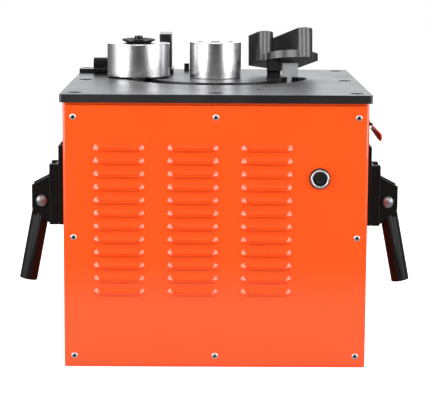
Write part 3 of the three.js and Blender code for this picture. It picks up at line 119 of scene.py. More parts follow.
def math_node(tree, how, first, second=None):
    node = add_node(tree, "ShaderNodeMath", operation=how)
    tree.links.new(first, node.inputs[0])
    if second is not None:
        tree.links.new(second, node.inputs[1])
    return node.outputs[0]


def new_group(name, inputs, outputs):
    group = bpy.data.node_groups.new(name, "ShaderNodeTree")
    for label, kind, value in inputs:
        socket = group.interface.new_socket(label, in_out="INPUT", socket_type=kind)
        if value is not None:
            socket.default_value = value
    for label, kind in outputs:
        group.interface.new_socket(label, in_out="OUTPUT", socket_type=kind)
    print("group", name)
    return group, group.nodes.new("NodeGroupInput"), group.nodes.new("NodeGroupOutput")


FLOAT, VECTOR = "NodeSocketFloat", "NodeSocketVector"

# %% Bright and dark directions
GAP_SIDE, WALL_SIDE = 0.33, 0.8
CORNER_START, CORNER_FULL, CORNER_LIGHT = 0.0, 0.4, 0.2
BACKDROP_START, BACKDROP_FULL = 0.72, 0.95
studio, take, give = new_group(
    "studio_directions", [("Place", VECTOR, (0, 0, 0))], [("Front", FLOAT), ("Back", FLOAT)]
)
flat = add_node(studio, "ShaderNodeVectorMath", operation="MULTIPLY")
flat.inputs[1].default_value = (1, 1, 0)
unit = add_node(studio, "ShaderNodeVectorMath", operation="NORMALIZE")
split = add_node(studio, "ShaderNodeSeparateXYZ")
link = studio.links.new
link(take.outputs["Place"], flat.inputs[0])
link(flat.outputs[0], unit.inputs[0])
link(unit.outputs[0], split.inputs[0])
aside = ramp(studio, math_node(studio, "ABSOLUTE", split.outputs["X"]), GAP_SIDE, WALL_SIDE, 0.0, 1.0)
ahead = ramp(studio, split.outputs["Y"], CORNER_START, CORNER_FULL, 1.0, CORNER_LIGHT)
link(math_node(studio, "MULTIPLY", aside, ahead), give.inputs["Front"])
link(ramp(studio, split.outputs["Y"], BACKDROP_START, BACKDROP_FULL, 0.0, 1.0), give.inputs["Back"])

# %% Floor
FLOOR_SIZE, FLOOR_DROP = 16, 0.0005
bpy.ops.object.select_all(action="DESELECT")
bpy.ops.mesh.primitive_plane_add(size=FLOOR_SIZE, location=(0, 0, -FLOOR_DROP))
floor = bpy.context.object
floor.name = "floor"
print("floor", FLOOR_SIZE, "m")

# %% Floor as polished steel sees it
TABLE_NEAR, TABLE_FAR, TABLE_LIGHT = 0.6, 1.1, 0.5
WALL_NEAR, WALL_FAR, WALL_LIGHT = 1.3, 2.0, 0.75
FLOOR_BEHIND = 0.1
white = bpy.data.materials.new("white_floor")
tree = node_tree(white)
coords = add_node(tree, "ShaderNodeTexCoord")
compass = add_node(tree, "ShaderNodeGroup", node_tree=studio)
away = add_node(tree, "ShaderNodeVectorMath", operation="LENGTH")
link = tree.links.new
link(coords.outputs["Object"], compass.inputs["Place"])
link(coords.outputs["Object"], away.inputs[0])
near = ramp(tree, away.outputs["Value"], TABLE_NEAR, TABLE_FAR, TABLE_LIGHT, 0.0)
far = ramp(tree, away.outputs["Value"], WALL_NEAR, WALL_FAR, 0.0, WALL_LIGHT)
not_back = ramp(tree, compass.outputs["Back"], 0.0, 1.0, 1.0, FLOOR_BEHIND)
bands = math_node(tree, "MULTIPLY", math_node(tree, "MULTIPLY", compass.outputs["Front"], not_back), far)
mirrored = math_node(tree, "ADD", near, bands)
print("pale table to", TABLE_FAR, "m, walls from", WALL_NEAR, "m")

# %% Floor shader
FLOOR_GREY, FLOOR_GLOW = 0.8, 0.82
path = add_node(tree, "ShaderNodeLightPath")
soft = add_node(tree, "ShaderNodeBsdfDiffuse", {"Color": (FLOOR_GREY, FLOOR_GREY, FLOOR_GREY, 1)})
glow = add_node(tree, "ShaderNodeEmission", {"Color": (1, 1, 1, 1), "Strength": FLOOR_GLOW})
seen = add_node(tree, "ShaderNodeAddShader")
mirror = add_node(tree, "ShaderNodeEmission", {"Color": (1, 1, 1, 1)})
by_camera = add_node(tree, "ShaderNodeMixShader")
by_metal = add_node(tree, "ShaderNodeMixShader")
out = add_node(tree, "ShaderNodeOutputMaterial")
link(mirrored, mirror.inputs["Strength"])
link(soft.outputs[0], seen.inputs[0])
link(glow.outputs[0], seen.inputs[1])
link(path.outputs["Is Camera Ray"], by_camera.inputs[0])
link(soft.outputs[0], by_camera.inputs[1])
link(seen.outputs[0], by_camera.inputs[2])
link(path.outputs["Is Glossy Ray"], by_metal.inputs[0])
link(by_camera.outputs[0], by_metal.inputs[1])
link(mirror.outputs[0], by_metal.inputs[2])
link(by_metal.outputs[0], out.inputs["Surface"])
floor.data.materials.append(white)
print("floor shader nodes", len(tree.nodes))

# %% Air
GAP_LIGHT, SIDE_LIGHT, BACKDROP_LIGHT = 0.05, 0.75, 1.6
PLAIN_SHARE = 0.6
AIR_TINT = (0.97, 0.98, 1, 1)
world = bpy.data.worlds.new("studio_air")
bpy.context.scene.world = world
tree = node_tree(world)
path = add_node(tree, "ShaderNodeLightPath")
coords = add_node(tree, "ShaderNodeTexCoord")
compass = add_node(tree, "ShaderNodeGroup", node_tree=studio)
link = tree.links.new
link(coords.outputs["Generated"], compass.inputs["Place"])
walls = ramp(tree, compass.outputs["Front"], 0.0, 1.0, GAP_LIGHT, SIDE_LIGHT)
behind = ramp(tree, compass.outputs["Back"], 0.0, 1.0, 0.0, BACKDROP_LIGHT)
in_front = ramp(tree, compass.outputs["Back"], 0.0, 1.0, 1.0, 0.0)
around = math_node(tree, "ADD", math_node(tree, "MULTIPLY", walls, in_front), behind)
dimmed = ramp(tree, path.outputs["Is Glossy Ray"], 0.0, 1.0, PLAIN_SHARE, 1.0)
lit = add_node(tree, "ShaderNodeBackground", {"Color": AIR_TINT})
plain = add_node(tree, "ShaderNodeBackground", {"Color": (1, 1, 1, 1), "Strength": 1.0})
mix = add_node(tree, "ShaderNodeMixShader")
out = add_node(tree, "ShaderNodeOutputWorld")
link(math_node(tree, "MULTIPLY", around, dimmed), lit.inputs["Strength"])
link(path.outputs["Is Camera Ray"], mix.inputs[0])
link(lit.outputs[0], mix.inputs[1])
link(plain.outputs[0], mix.inputs[2])
link(mix.outputs[0], out.inputs["Surface"])
print("air nodes", len(tree.nodes))

# %% [markdown]
# Four soft lights stand round the machine, as softboxes do. The two at the sides and the one in front show
# in the steel. The one above only fills the shadows, and reflections leave it out.

# %% Lights


def soft_light(name, place, target, wide, high, watts):
    bpy.ops.object.light_add(type="AREA", location=place)
    lamp = bpy.context.object
    lamp.name = name
    lamp.data.shape = "RECTANGLE"
    lamp.data.size, lamp.data.size_y = wide, high
    lamp.data.energy = watts
    aim = Vector(target) - Vector(place)
    lamp.rotation_euler = aim.to_track_quat("-Z", "Y").to_euler()
    return lamp


ROLLERS, MIDDLE = (0, 0, 0.4), (0, 0, 0.3)
soft_light("left_light", (-2.0, -1.2, 0.9), ROLLERS, wide=1.5, high=1.8, watts=34)
soft_light("right_light", (2.0, -1.2, 0.9), ROLLERS, wide=1.5, high=1.8, watts=32)
soft_light("front_light", (0, -2.0, 1.75), MIDDLE, wide=1.6, high=0.7, watts=20)
above = soft_light("top_light", (0, 0.3, 2.2), MIDDLE, wide=1.4, high=1.4, watts=20)
above.visible_glossy = False
bpy.context.scene.view_settings.view_transform = "Standard"

# %% [markdown]
# ## Finishes
# One group makes fine grain for every finish: a slow mottle and a fine bump. A second makes the rings
# that a lathe leaves round an axis. Colour, roughness and metal differ by finish, and the shader itself
# stays in each material.

# %% Fine grain
grain, take, give = new_group(
    "fine_grain",
    [("Scale", FLOAT, 900.0), ("Depth", FLOAT, 0.1)],
    [("Mottle", FLOAT), ("Normal", VECTOR)],
)
coords = add_node(grain, "ShaderNodeTexCoord")
fine = add_node(grain, "ShaderNodeTexNoise", {"Detail": 3.0, "Roughness": 0.6})
slow = add_node(grain, "ShaderNodeTexNoise", {"Scale": 9.0, "Detail": 5.0, "Roughness": 0.65})
bump = add_node(grain, "ShaderNodeBump", {"Distance": 0.0004})
link = grain.links.new
link(coords.outputs["Object"], fine.inputs["Vector"])
link(coords.outputs["Object"], slow.inputs["Vector"])
link(take.outputs["Scale"], fine.inputs["Scale"])
link(take.outputs["Depth"], bump.inputs["Strength"])
link(fine.outputs["Fac"], bump.inputs["Height"])
link(slow.outputs["Fac"], give.inputs["Mottle"])
link(bump.outputs[0], give.inputs["Normal"])

# %% Lathe rings
rings, take, give = new_group(
    "lathe_rings",
    [
        ("Centre", VECTOR, (0, 0, 0)),
        ("Squash", VECTOR, (1, 1, 0)),
        ("Along", VECTOR, (0, 0, 1)),
        ("Scale", FLOAT, 2500.0),
    ],
    [("Normal", VECTOR)],
)
coords = add_node(rings, "ShaderNodeTexCoord")
away = add_node(rings, "ShaderNodeVectorMath", operation="SUBTRACT")
flat = add_node(rings, "ShaderNodeVectorMath", operation="MULTIPLY")
radius = add_node(rings, "ShaderNodeVectorMath", operation="LENGTH")
height = add_node(rings, "ShaderNodeVectorMath", operation="DOT_PRODUCT")
place = add_node(rings, "ShaderNodeCombineXYZ")
noise = add_node(rings, "ShaderNodeTexNoise", {"Detail": 2.0})
bump = add_node(rings, "ShaderNodeBump", {"Distance": 0.0001, "Strength": 0.25})
link = rings.links.new
link(coords.outputs["Object"], away.inputs[0])
link(take.outputs["Centre"], away.inputs[1])
link(away.outputs[0], flat.inputs[0])
link(take.outputs["Squash"], flat.inputs[1])
link(flat.outputs[0], radius.inputs[0])
link(away.outputs[0], height.inputs[0])
link(take.outputs["Along"], height.inputs[1])
link(radius.outputs["Value"], place.inputs["X"])
link(height.outputs["Value"], place.inputs["Y"])
link(place.outputs[0], noise.inputs["Vector"])
link(take.outputs["Scale"], noise.inputs["Scale"])
link(noise.outputs["Fac"], bump.inputs["Height"])
link(bump.outputs[0], give.inputs["Normal"])

# %% [markdown]
# A finish is one Principled shader. The slow mottle moves its colour and roughness a little. Turned steel
# also gets rings and an anisotropic sheen, which stretches highlights up and down as real turning does.

# %% A finish from its values
COAT_ROUGH, COAT_IOR = 0.07, 1.65
TURNED_SHEEN = 0.7
MOTTLE_LOW, MOTTLE_TONE, MOTTLE_HIGH = 0.3, 0.62, 0.7
SMOOTHEST = 0.03


def finish(
    name, colour, rough, metal=0.0, vary=0.12, scale=900.0, depth=0.1, dark=0.75, coat=0.0, shine=0.5,
    turned_at=None,
):
    material = bpy.data.materials.new(name)
    tree = node_tree(material)
    surface = add_node(tree, "ShaderNodeBsdfPrincipled", {"Metallic": metal, "Coat Weight": coat})
    surface.inputs["Coat Roughness"].default_value = COAT_ROUGH
    surface.inputs["Coat IOR"].default_value = COAT_IOR
    surface.inputs["Specular IOR Level"].default_value = shine
    output = add_node(tree, "ShaderNodeOutputMaterial")
    effect = add_node(tree, "ShaderNodeGroup", {"Scale": scale, "Depth": depth}, node_tree=grain)
    tone = add_node(tree, "ShaderNodeMix", data_type="RGBA")
    tone.inputs["A"].default_value = (*[c * dark for c in colour], 1)
    tone.inputs["B"].default_value = (*colour, 1)
    sheen = add_node(tree, "ShaderNodeMapRange", {"From Min": MOTTLE_LOW, "From Max": MOTTLE_HIGH})
    sheen.inputs["To Min"].default_value = max(rough - vary * 0.5, SMOOTHEST)
    sheen.inputs["To Max"].default_value = min(rough + vary * 0.5, 1)
    sharpen = add_node(tree, "ShaderNodeMapRange", {"From Min": MOTTLE_LOW, "From Max": MOTTLE_TONE})
    join = tree.links.new
    join(effect.outputs["Mottle"], sharpen.inputs["Value"])
    join(sharpen.outputs[0], tone.inputs["Factor"])
    join(effect.outputs["Mottle"], sheen.inputs["Value"])
    join(tone.outputs["Result"], surface.inputs["Base Color"])
    join(sheen.outputs[0], surface.inputs["Roughness"])
    normal = effect
    if turned_at is not None:
        normal = add_node(tree, "ShaderNodeGroup", {"Centre": turned_at}, node_tree=rings)
        surface.inputs["Anisotropic"].default_value = TURNED_SHEEN
        around = add_node(tree, "ShaderNodeTangent", direction_type="RADIAL", axis="Z")
        join(around.outputs[0], surface.inputs["Tangent"])
    join(normal.outputs["Normal"], surface.inputs["Normal"])
    join(surface.outputs[0], output.inputs["Surface"])
    return material


def centre_of(node):
    low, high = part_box(node)
    return (low + high) / 2


# %% The finishes of this machine
STEEL = (0.86, 0.86, 0.87)
STEEL_LOOK = {"rough": 0.24, "metal": 1.0, "vary": 0.03}
FINISHES = {
    "orange_paint": finish(
        "orange_paint", (1.0, 0.092, 0.009), rough=0.4, dark=0.97, depth=0.03, vary=0.06, coat=1.0, shine=0.1
    ),
    "table_steel": finish(
        "table_steel", (0.014, 0.014, 0.0145), rough=0.36, shine=1.0, dark=0.6, scale=500, depth=0.1
    ),
    "black_steel": finish(
        "black_steel", (0.009, 0.009, 0.0095), rough=0.24, dark=0.7, scale=700, depth=0.05
    ),
    "polished_steel": finish("polished_steel", STEEL, turned_at=centre_of("centre_roller"), **STEEL_LOOK),
    "zinc_steel": finish("zinc_steel", (0.78, 0.79, 0.8), rough=0.36, metal=1.0, depth=0.05),
    "gear_steel": finish("gear_steel", (0.06, 0.06, 0.065), rough=0.4, metal=0.6),
    "bronze": finish("bronze", (0.72, 0.48, 0.2), rough=0.34, metal=1.0),
    "iron_frame": finish(
        "iron_frame", (0.12, 0.125, 0.13), rough=0.6, metal=0.2, scale=500, depth=0.3
    ),
    "motor_paint": finish("motor_paint", (0.045, 0.1, 0.19), rough=0.45, scale=600, depth=0.2),
    "black_plastic": finish("black_plastic", (0.009, 0.009, 0.0095), rough=0.38, depth=0.15, shine=0.4),
    "red_plastic": finish("red_plastic", (0.66, 0.05, 0.02), rough=0.32, coat=0.2, depth=0.03),
    # dark_red_plastic is red_plastic darkened to about a third: painted shade for the switch parts under its
    # lid.
    "dark_red_plastic": finish("dark_red_plastic", (0.2, 0.015, 0.01), rough=0.38, depth=0.04),
    "green_plastic": finish("green_plastic", (0.02, 0.28, 0.06), rough=0.34, coat=0.2, depth=0.03),
}
BEND_STEEL = finish("bend_roller_steel", STEEL, turned_at=centre_of("bending_roller"), **STEEL_LOOK)
POWDER_BLACK = finish("powder_black", (0.0035, 0.0035, 0.0037), rough=0.4, depth=0.1, shine=0.25)
# A flat dull black. In the panel screws' cross recesses and on the fork's post, swivel and boss it is
# painted shade. On the table bolt heads it is their own black.
BLACK_AND_PAINTED_SHADE = finish("black_and_painted_shade", (0.008, 0.008, 0.008), rough=0.7, depth=0.1, shine=0.2)
GREY_BOLT = finish("grey_bolt", (0.3, 0.3, 0.31), rough=0.36, metal=0.9, depth=0.1)
FORK_STEEL = finish(
    "fork_steel", (0.1, 0.1, 0.102), rough=0.31, metal=0.88, vary=0.06, scale=700, depth=0.04
)
SHEET_ZINC = finish("sheet_zinc", (0.72, 0.73, 0.74), rough=0.5, metal=0.7, depth=0.1, shine=0.8)
print("finishes", len(FINISHES))

# %% Finishes on the CAD nodes
# The fork's post and swivel are black steel, made flatter and darker here as painted shade under the fork.
SHADE_UNDER_FORK = {"fork_post": BLACK_AND_PAINTED_SHADE, "fork_swivel": BLACK_AND_PAINTED_SHADE}
SLOT_OF = {part["node"]: part["material_slot"] for part in frame["record"]["subparts"]}
for node_name, node_object in frame["nodes"].items():
    node_object.data.materials.clear()
    node_object.data.materials.append(SHADE_UNDER_FORK.get(node_name, FINISHES[SLOT_OF[node_name]]))
print("nodes finished", len(SLOT_OF))

# %% [markdown]
# ## Modelling helpers
# Every new piece starts as a primitive of the right size in the right place. These helpers select faces
# and edges by their place or direction, which stands in for picking them by hand, and soften the edges.
# Sizes are in millimetres. An upright rod runs up and down and a level rod runs front to back. The flat end
# of a rod is shaped by steps: each step says how far it is inset, and how far it then moves outward.

# %% Starting shapes
UPRIGHT, DOWNWARD = (0, 0, 1), (0, 0, -1)
FRONTWARD, BACKWARD = (0, -1, 0), (0, 1, 0)
OVERLAP = 1
TOUCH = 0.1


def started(name):
    piece = bpy.context.object
    bpy.ops.object.transform_apply(location=True, rotation=True, scale=True)
    piece.name = name
    return piece


def slab(name, low, high):
    bpy.ops.object.select_all(action="DESELECT")
    middle = [(a + b) / 2 * MM for a, b in zip(low, high)]
    sizes = [(b - a) * MM for a, b in zip(low, high)]
    bpy.ops.mesh.primitive_cube_add(size=1, location=middle, scale=sizes)
    return started(name)


def rod(name, start, end, radius, sides=96):
    bpy.ops.object.select_all(action="DESELECT")
    start, end = Vector(start) * MM, Vector(end) * MM
    bpy.ops.mesh.primitive_cylinder_add(
        vertices=sides,
        radius=radius * MM,
        depth=(end - start).length,
        location=(start + end) / 2,
        rotation=(end - start).to_track_quat("Z", "Y").to_euler(),
    )
    return started(name)


def upright_rod(name, x, y, bottom, top, radius, sides=96):
    return rod(name, (x, y, bottom), (x, y, top), radius, sides)


def level_rod(name, x, z, start, end, radius, sides=64):
    return rod(name, (x, start, z), (x, end, z), radius, sides)


# %% Selecting


def only(piece):
    bpy.ops.object.select_all(action="DESELECT")
    piece.select_set(True)
    bpy.context.view_layer.objects.active = piece


def edit(piece):
    only(piece)
    bpy.ops.object.mode_set(mode="EDIT")


def leave():
    bpy.ops.object.mode_set(mode="OBJECT")


def pick(piece, kind, test):
    bpy.ops.mesh.select_mode(type=kind)
    bpy.ops.mesh.select_all(action="DESELECT")
    mesh = bmesh.from_edit_mesh(piece.data)
    for item in list(mesh.faces if kind == "FACE" else mesh.edges):
        if test(item):
            item.select_set(True)
    mesh.select_flush_mode()
    bmesh.update_edit_mesh(piece.data)


def middle_of(edge):
    return (edge.verts[0].co + edge.verts[1].co) / 2 / MM


ALIGNED, ACROSS = 0.9, 0.1


def lies_along(edge, axis):
    direction = (edge.verts[1].co - edge.verts[0].co).normalized()
    return abs(direction["xyz".index(axis)]) > ALIGNED


# %% Caps of turned pieces
CAP_SIDES = 8


def step_cap(piece, outward, steps):
    edit(piece)
    pick(piece, "FACE", lambda f: len(f.verts) > CAP_SIDES and f.normal.dot(Vector(outward)) > ALIGNED)
    for inward, along in steps:
        bpy.ops.mesh.inset(thickness=inward * MM, depth=along * MM)
    leave()


def bore_caps(piece, outward):
    edit(piece)
    pick(piece, "FACE", lambda f: len(f.verts) > CAP_SIDES and abs(f.normal.dot(Vector(outward))) > ALIGNED)
    bpy.ops.mesh.delete(type="FACE")
    bpy.ops.mesh.select_mode(type="EDGE")
    bpy.ops.mesh.select_all(action="DESELECT")
    bpy.ops.mesh.select_non_manifold()
    bpy.ops.mesh.bridge_edge_loops()
    leave()


# %% Modifiers, applied at once


def apply_all(piece):
    only(piece)
    for modifier in list(piece.modifiers):
        bpy.ops.object.modifier_apply(modifier=modifier.name)


def combine(piece, other, how):
    boolean = piece.modifiers.new("combine", "BOOLEAN")
    boolean.operation = how
    boolean.solver = "EXACT"
    boolean.object = other
    apply_all(piece)
    bpy.data.objects.remove(other)


def array(piece, step, count):
    repeat = piece.modifiers.new("repeat", "ARRAY")
    repeat.use_relative_offset = False
    repeat.use_constant_offset = True
    repeat.constant_offset_displace = [value * MM for value in step]
    repeat.count = count
    apply_all(piece)


# %% [markdown]
# Smoothing stays under the first step of a bevel, so that a large flat face keeps its own direction. A face
# with very many corners is shaded flat, or faint lines run across it.

# %% Soft edges
SMOOTH_BELOW = 13
FLAT_ABOVE_SIDES = 16
BEVEL_ABOVE = 35
ROUND_STEPS = 3


def smooth(piece):
    only(piece)
    bpy.ops.object.shade_smooth_by_angle(angle=math.radians(SMOOTH_BELOW))


def soften(piece, width, segments=2):
    bevel = piece.modifiers.new("soft_edges", "BEVEL")
    bevel.width = width * MM
    bevel.segments = segments
    bevel.limit_method = "ANGLE"
    bevel.angle_limit = math.radians(BEVEL_ABOVE)
    apply_all(piece)
    smooth(piece)
    edit(piece)
    pick(piece, "FACE", lambda f: len(f.verts) > FLAT_ABOVE_SIDES)
    bpy.ops.mesh.faces_shade_flat()
    leave()


# %% Placing, copying and joining


def place_by(piece, matrix):
    only(piece)
    piece.matrix_world = matrix
    bpy.ops.object.transform_apply(location=True, rotation=True, scale=True)


def own_copy(shape, name):
    piece = shape.copy()
    piece.data = shape.data.copy()
    piece.name = name
    bpy.context.collection.objects.link(piece)
    return piece


def join_into(piece, other):
    only(piece)
    other.select_set(True)
    bpy.ops.object.join()


# %% Handing over to the frame
BODY_OF = {node: body for body, nodes in frame["record"]["behaviour"]["bodies"].items() for node in nodes}


def millimetres(node):
    low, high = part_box(node)
    return low / MM, high / MM


def settle(piece, slot, *nodes, body="cabinet", material=None):
    piece.data.materials.clear()
    piece.data.materials.append(material or FINISHES[slot])
    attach(piece, BODY_OF[nodes[0]] if nodes else body)
    if nodes:
        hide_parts(*nodes)
    print(piece.name, len(piece.data.polygons), "faces")


def refinish(piece, material, test):
    piece.data.materials.append(material)
    for face in piece.data.polygons:
        if test(face.center / MM, face.normal):
            face.material_index = 1


# %% Soft-edged copies of CAD nodes
MERGE_WITHIN = 0.002
FLAT_WITHIN = 1


def softened_copy(node, width, material=None):
    bpy.ops.object.select_all(action="DESELECT")
    piece = bpy.data.objects.new(node + "_edged", frame["nodes"][node].data.copy())
    bpy.context.collection.objects.link(piece)
    edit(piece)
    bpy.ops.mesh.select_all(action="SELECT")
    bpy.ops.mesh.remove_doubles(threshold=MERGE_WITHIN * MM)
    bpy.ops.mesh.dissolve_limited(angle_limit=math.radians(FLAT_WITHIN))
    leave()
    soften(piece, width)
    settle(piece, SLOT_OF[node], node, material=material)


# %% [markdown]
# ## Rollers
# Both rollers are turned from bar, bored right through and chamfered. A cylinder with its caps inset to
# the bore and bridged gives that in a few steps. The middle roller also has a sunk face round its pin.

# %% Bending roller
ROLLER_SIDES, ROLLER_BORE, ROLLER_EDGE = 128, 13.3, 0.9
low, high = millimetres("bending_roller")
bend_x, bend_y = (low.x + high.x) / 2, (low.y + high.y) / 2
bend_radius = (high.x - low.x) / 2
roller = upright_rod("bending_roller_turned", bend_x, bend_y, low.z, high.z, bend_radius, ROLLER_SIDES)
for outward in (UPRIGHT, DOWNWARD):
    step_cap(roller, outward, [(bend_radius - ROLLER_BORE, 0)])
bore_caps(roller, UPRIGHT)
soften(roller, ROLLER_EDGE, ROUND_STEPS)
settle(roller, "polished_steel", "bending_roller", material=BEND_STEEL)

# %% Middle roller
CENTRE_BORE, CENTRE_EDGE = 18.3, 0.8
SUNK_RADIUS, SUNK_WALL, SUNK_DEEP = 30, 1, 5
low, high = millimetres("centre_roller")
centre_x, centre_y = (low.x + high.x) / 2, (low.y + high.y) / 2
centre_radius = (high.x - low.x) / 2
sunk_face = [
    (centre_radius - SUNK_RADIUS, 0),
    (SUNK_WALL, -SUNK_DEEP),
    (SUNK_RADIUS - SUNK_WALL - CENTRE_BORE, 0),
]
roller = upright_rod("middle_roller_turned", centre_x, centre_y, low.z, high.z, centre_radius, ROLLER_SIDES)
step_cap(roller, UPRIGHT, sunk_face)
step_cap(roller, DOWNWARD, [(centre_radius - CENTRE_BORE, 0)])
bore_caps(roller, UPRIGHT)
soften(roller, CENTRE_EDGE, ROUND_STEPS)
settle(roller, "polished_steel", "centre_roller")

# %% Middle pin
PIN_RADIUS, COLLAR_RADIUS, JOURNAL_RADIUS, PIN_EDGE = 17.9, 34, 24, 1.2
COLLAR_BOTTOM, COLLAR_TOP = 383.7, 389.7
low, high = millimetres("centre_pin")
pin = upright_rod("middle_pin_turned", centre_x, centre_y, COLLAR_TOP - OVERLAP, high.z, PIN_RADIUS)
collar = upright_rod("collar", centre_x, centre_y, COLLAR_BOTTOM, COLLAR_TOP, COLLAR_RADIUS)
journal = upright_rod("journal", centre_x, centre_y, low.z, COLLAR_BOTTOM + OVERLAP, JOURNAL_RADIUS)
combine(pin, collar, "UNION")
combine(pin, journal, "UNION")
soften(pin, PIN_EDGE, ROUND_STEPS)
settle(pin, "zinc_steel", "centre_pin")

# %% [markdown]
# ## Keeper washer and screw
# A dished washer holds the bending roller on its pin. Its underside is a cone and its top a dish with a
# thin rim, so both caps of a flat disc are inset with depth. The socket screw on it is black.

# %% Keeper washer
KEEPER_RADIUS, KEEPER_DISH, KEEPER_FLOOR = 26.5, 19.5, 3
KEEPER_RIM, KEEPER_RIM_THICK = 2.4, 3.2
FINE_EDGE = 0.5
low, high = millimetres("keeper_washer")
rim_low = high.z - KEEPER_RIM_THICK
slope = KEEPER_RADIUS - KEEPER_DISH
washer = upright_rod("keeper_dished", bend_x, bend_y, rim_low, high.z, KEEPER_RADIUS)
step_cap(washer, DOWNWARD, [(slope, rim_low - low.z)])
step_cap(washer, UPRIGHT, [(KEEPER_RIM, 0), (slope - KEEPER_RIM, low.z + KEEPER_FLOOR - high.z)])
soften(washer, FINE_EDGE)
settle(washer, "black_steel", "keeper_washer")

# %% Keeper screw
HEAD_RADIUS, HEAD_HIGH, SHANK_RADIUS = 6.5, 8, 4
HEX_SIDES, HEX_RADIUS, HEX_DEEP = 6, 3.5, 4
low, high = millimetres("keeper_screw")
head_low = high.z - HEAD_HIGH
screw = upright_rod("keeper_screw_head", bend_x, bend_y, head_low, high.z, HEAD_RADIUS, 48)
hexagon = upright_rod("hexagon", bend_x, bend_y, high.z - HEX_DEEP, high.z + OVERLAP, HEX_RADIUS, HEX_SIDES)
combine(screw, hexagon, "DIFFERENCE")
shank = upright_rod("shank", bend_x, bend_y, low.z, head_low + OVERLAP, SHANK_RADIUS, 32)
combine(screw, shank, "UNION")
soften(screw, FINE_EDGE)
settle(screw, "black_steel", "keeper_screw")

# %% [markdown]
# ## Louvred front panel
# The panel is one pressed sheet. A louvre is a hood with round shoulders, a sloped front and a straight open
# lower edge with a groove over its lip. So a box gets large bevels, loses its back and its floor, and is
# given the sheet's thickness. It is repeated in three columns, and a slit behind each lets the air through.

# %% Front sheet
SHEET, PANEL_CORNER = 2, 4
low, high = millimetres("front_panel")
panel_back = high.y
panel_front = panel_back - SHEET
panel = slab("front_panel_pressed", (low.x, panel_front, low.z), (high.x, panel_back, high.z))
edit(panel)
pick(panel, "EDGE", lambda e: lies_along(e, "y"))
bpy.ops.mesh.bevel(offset=PANEL_CORNER * MM, segments=6, affect="EDGES")
leave()
print("sheet mm", round(high.x - low.x, 1), round(high.z - low.z, 1))

# %% Louvre hood
LOUVRE_ROWS, LOUVRE_COLUMNS = 12, 3
LOUVRE_LOWEST, LOUVRE_PITCH_Z = 109.6, 19.25
LOUVRE_PITCH_X, LOUVRE_MIDDLE = 106.96, -32.88
LOUVRE_WIDE, LOUVRE_HIGH, LOUVRE_RISE = 73.5, 10, 5
TALL_RISE, HOOD_ROUND, HOOD_SLOPE = 7.6, 8, 7
louvre_left = LOUVRE_MIDDLE - LOUVRE_PITCH_X - LOUVRE_WIDE / 2
louvre_right = louvre_left + LOUVRE_WIDE
louvre_top = LOUVRE_LOWEST + LOUVRE_HIGH
hood_front = panel_front - TALL_RISE
hood_low = (louvre_left, hood_front, LOUVRE_LOWEST)
hood_high = (louvre_right, panel_front + OVERLAP, louvre_top)
hood = slab("hood", hood_low, hood_high)
edit(hood)
pick(hood, "EDGE", lambda e: lies_along(e, "y") and middle_of(e).z > LOUVRE_LOWEST + TOUCH)
bpy.ops.mesh.bevel(offset=HOOD_ROUND * MM, segments=8, affect="EDGES")
pick(hood, "EDGE", lambda e: middle_of(e).y < hood_front + TOUCH and middle_of(e).z > LOUVRE_LOWEST + TOUCH)
bpy.ops.mesh.bevel(offset=HOOD_SLOPE * MM, segments=1, affect="EDGES")
bpy.ops.mesh.select_all(action="SELECT")
bpy.ops.transform.resize(value=(1, LOUVRE_RISE / TALL_RISE, 1), center_override=(0, panel_front * MM, 0))
leave()
print("hood faces", len(hood.data.polygons))

# %% Hood opening and groove
GROOVE_LOW, GROOVE_HIGH, GROOVE_DEEP = 1.5, 2.7, 1.3
HOOD_THICK = 1.2
groove_middle = (LOUVRE_LOWEST + (GROOVE_LOW + GROOVE_HIGH) / 2) * MM
edit(hood)
for cut in (GROOVE_LOW, GROOVE_HIGH):
    bpy.ops.mesh.select_all(action="SELECT")
    bpy.ops.mesh.bisect(plane_co=(0, 0, (LOUVRE_LOWEST + cut) * MM), plane_no=UPRIGHT)
pick(hood, "FACE", lambda f: f.normal.z < -ALIGNED or f.normal.y > ALIGNED)
bpy.ops.mesh.delete(type="FACE")
pick(hood, "FACE", lambda f: abs(f.calc_center_median().z - groove_middle) < TOUCH * MM)
bpy.ops.mesh.extrude_region_shrink_fatten(TRANSFORM_OT_shrink_fatten={"value": -GROOVE_DEEP * MM})
leave()
thick = hood.modifiers.new("thick", "SOLIDIFY")
thick.thickness = HOOD_THICK * MM
thick.offset = -1
apply_all(hood)
array(hood, (0, 0, LOUVRE_PITCH_Z), LOUVRE_ROWS)
array(hood, (LOUVRE_PITCH_X, 0, 0), LOUVRE_COLUMNS)
smooth(hood)
print("hoods", LOUVRE_ROWS * LOUVRE_COLUMNS)

# %% Slits and the socket hole
SLIT_SIDE, SLIT_SILL, SLIT_HEAD = 9, 0.6, 3
SOCKET_HOLE, PANEL_EDGE = 11.4, 0.7
cut_front, cut_back = panel_front - OVERLAP, panel_back + OVERLAP
slit = slab(
    "slit",
    (louvre_left + SLIT_SIDE, cut_front, LOUVRE_LOWEST + SLIT_SILL),
    (louvre_right - SLIT_SIDE, cut_back, louvre_top - SLIT_HEAD),
)
array(slit, (0, 0, LOUVRE_PITCH_Z), LOUVRE_ROWS)
array(slit, (LOUVRE_PITCH_X, 0, 0), LOUVRE_COLUMNS)
combine(panel, slit, "DIFFERENCE")
socket_low, socket_high = millimetres("pedal_socket_insert")
socket_x, socket_z = (socket_low.x + socket_high.x) / 2, (socket_low.z + socket_high.z) / 2
combine(panel, level_rod("hole", socket_x, socket_z, cut_front, cut_back, SOCKET_HOLE), "DIFFERENCE")
soften(panel, PANEL_EDGE, ROUND_STEPS)
join_into(panel, hood)
settle(panel, "orange_paint", "front_panel")
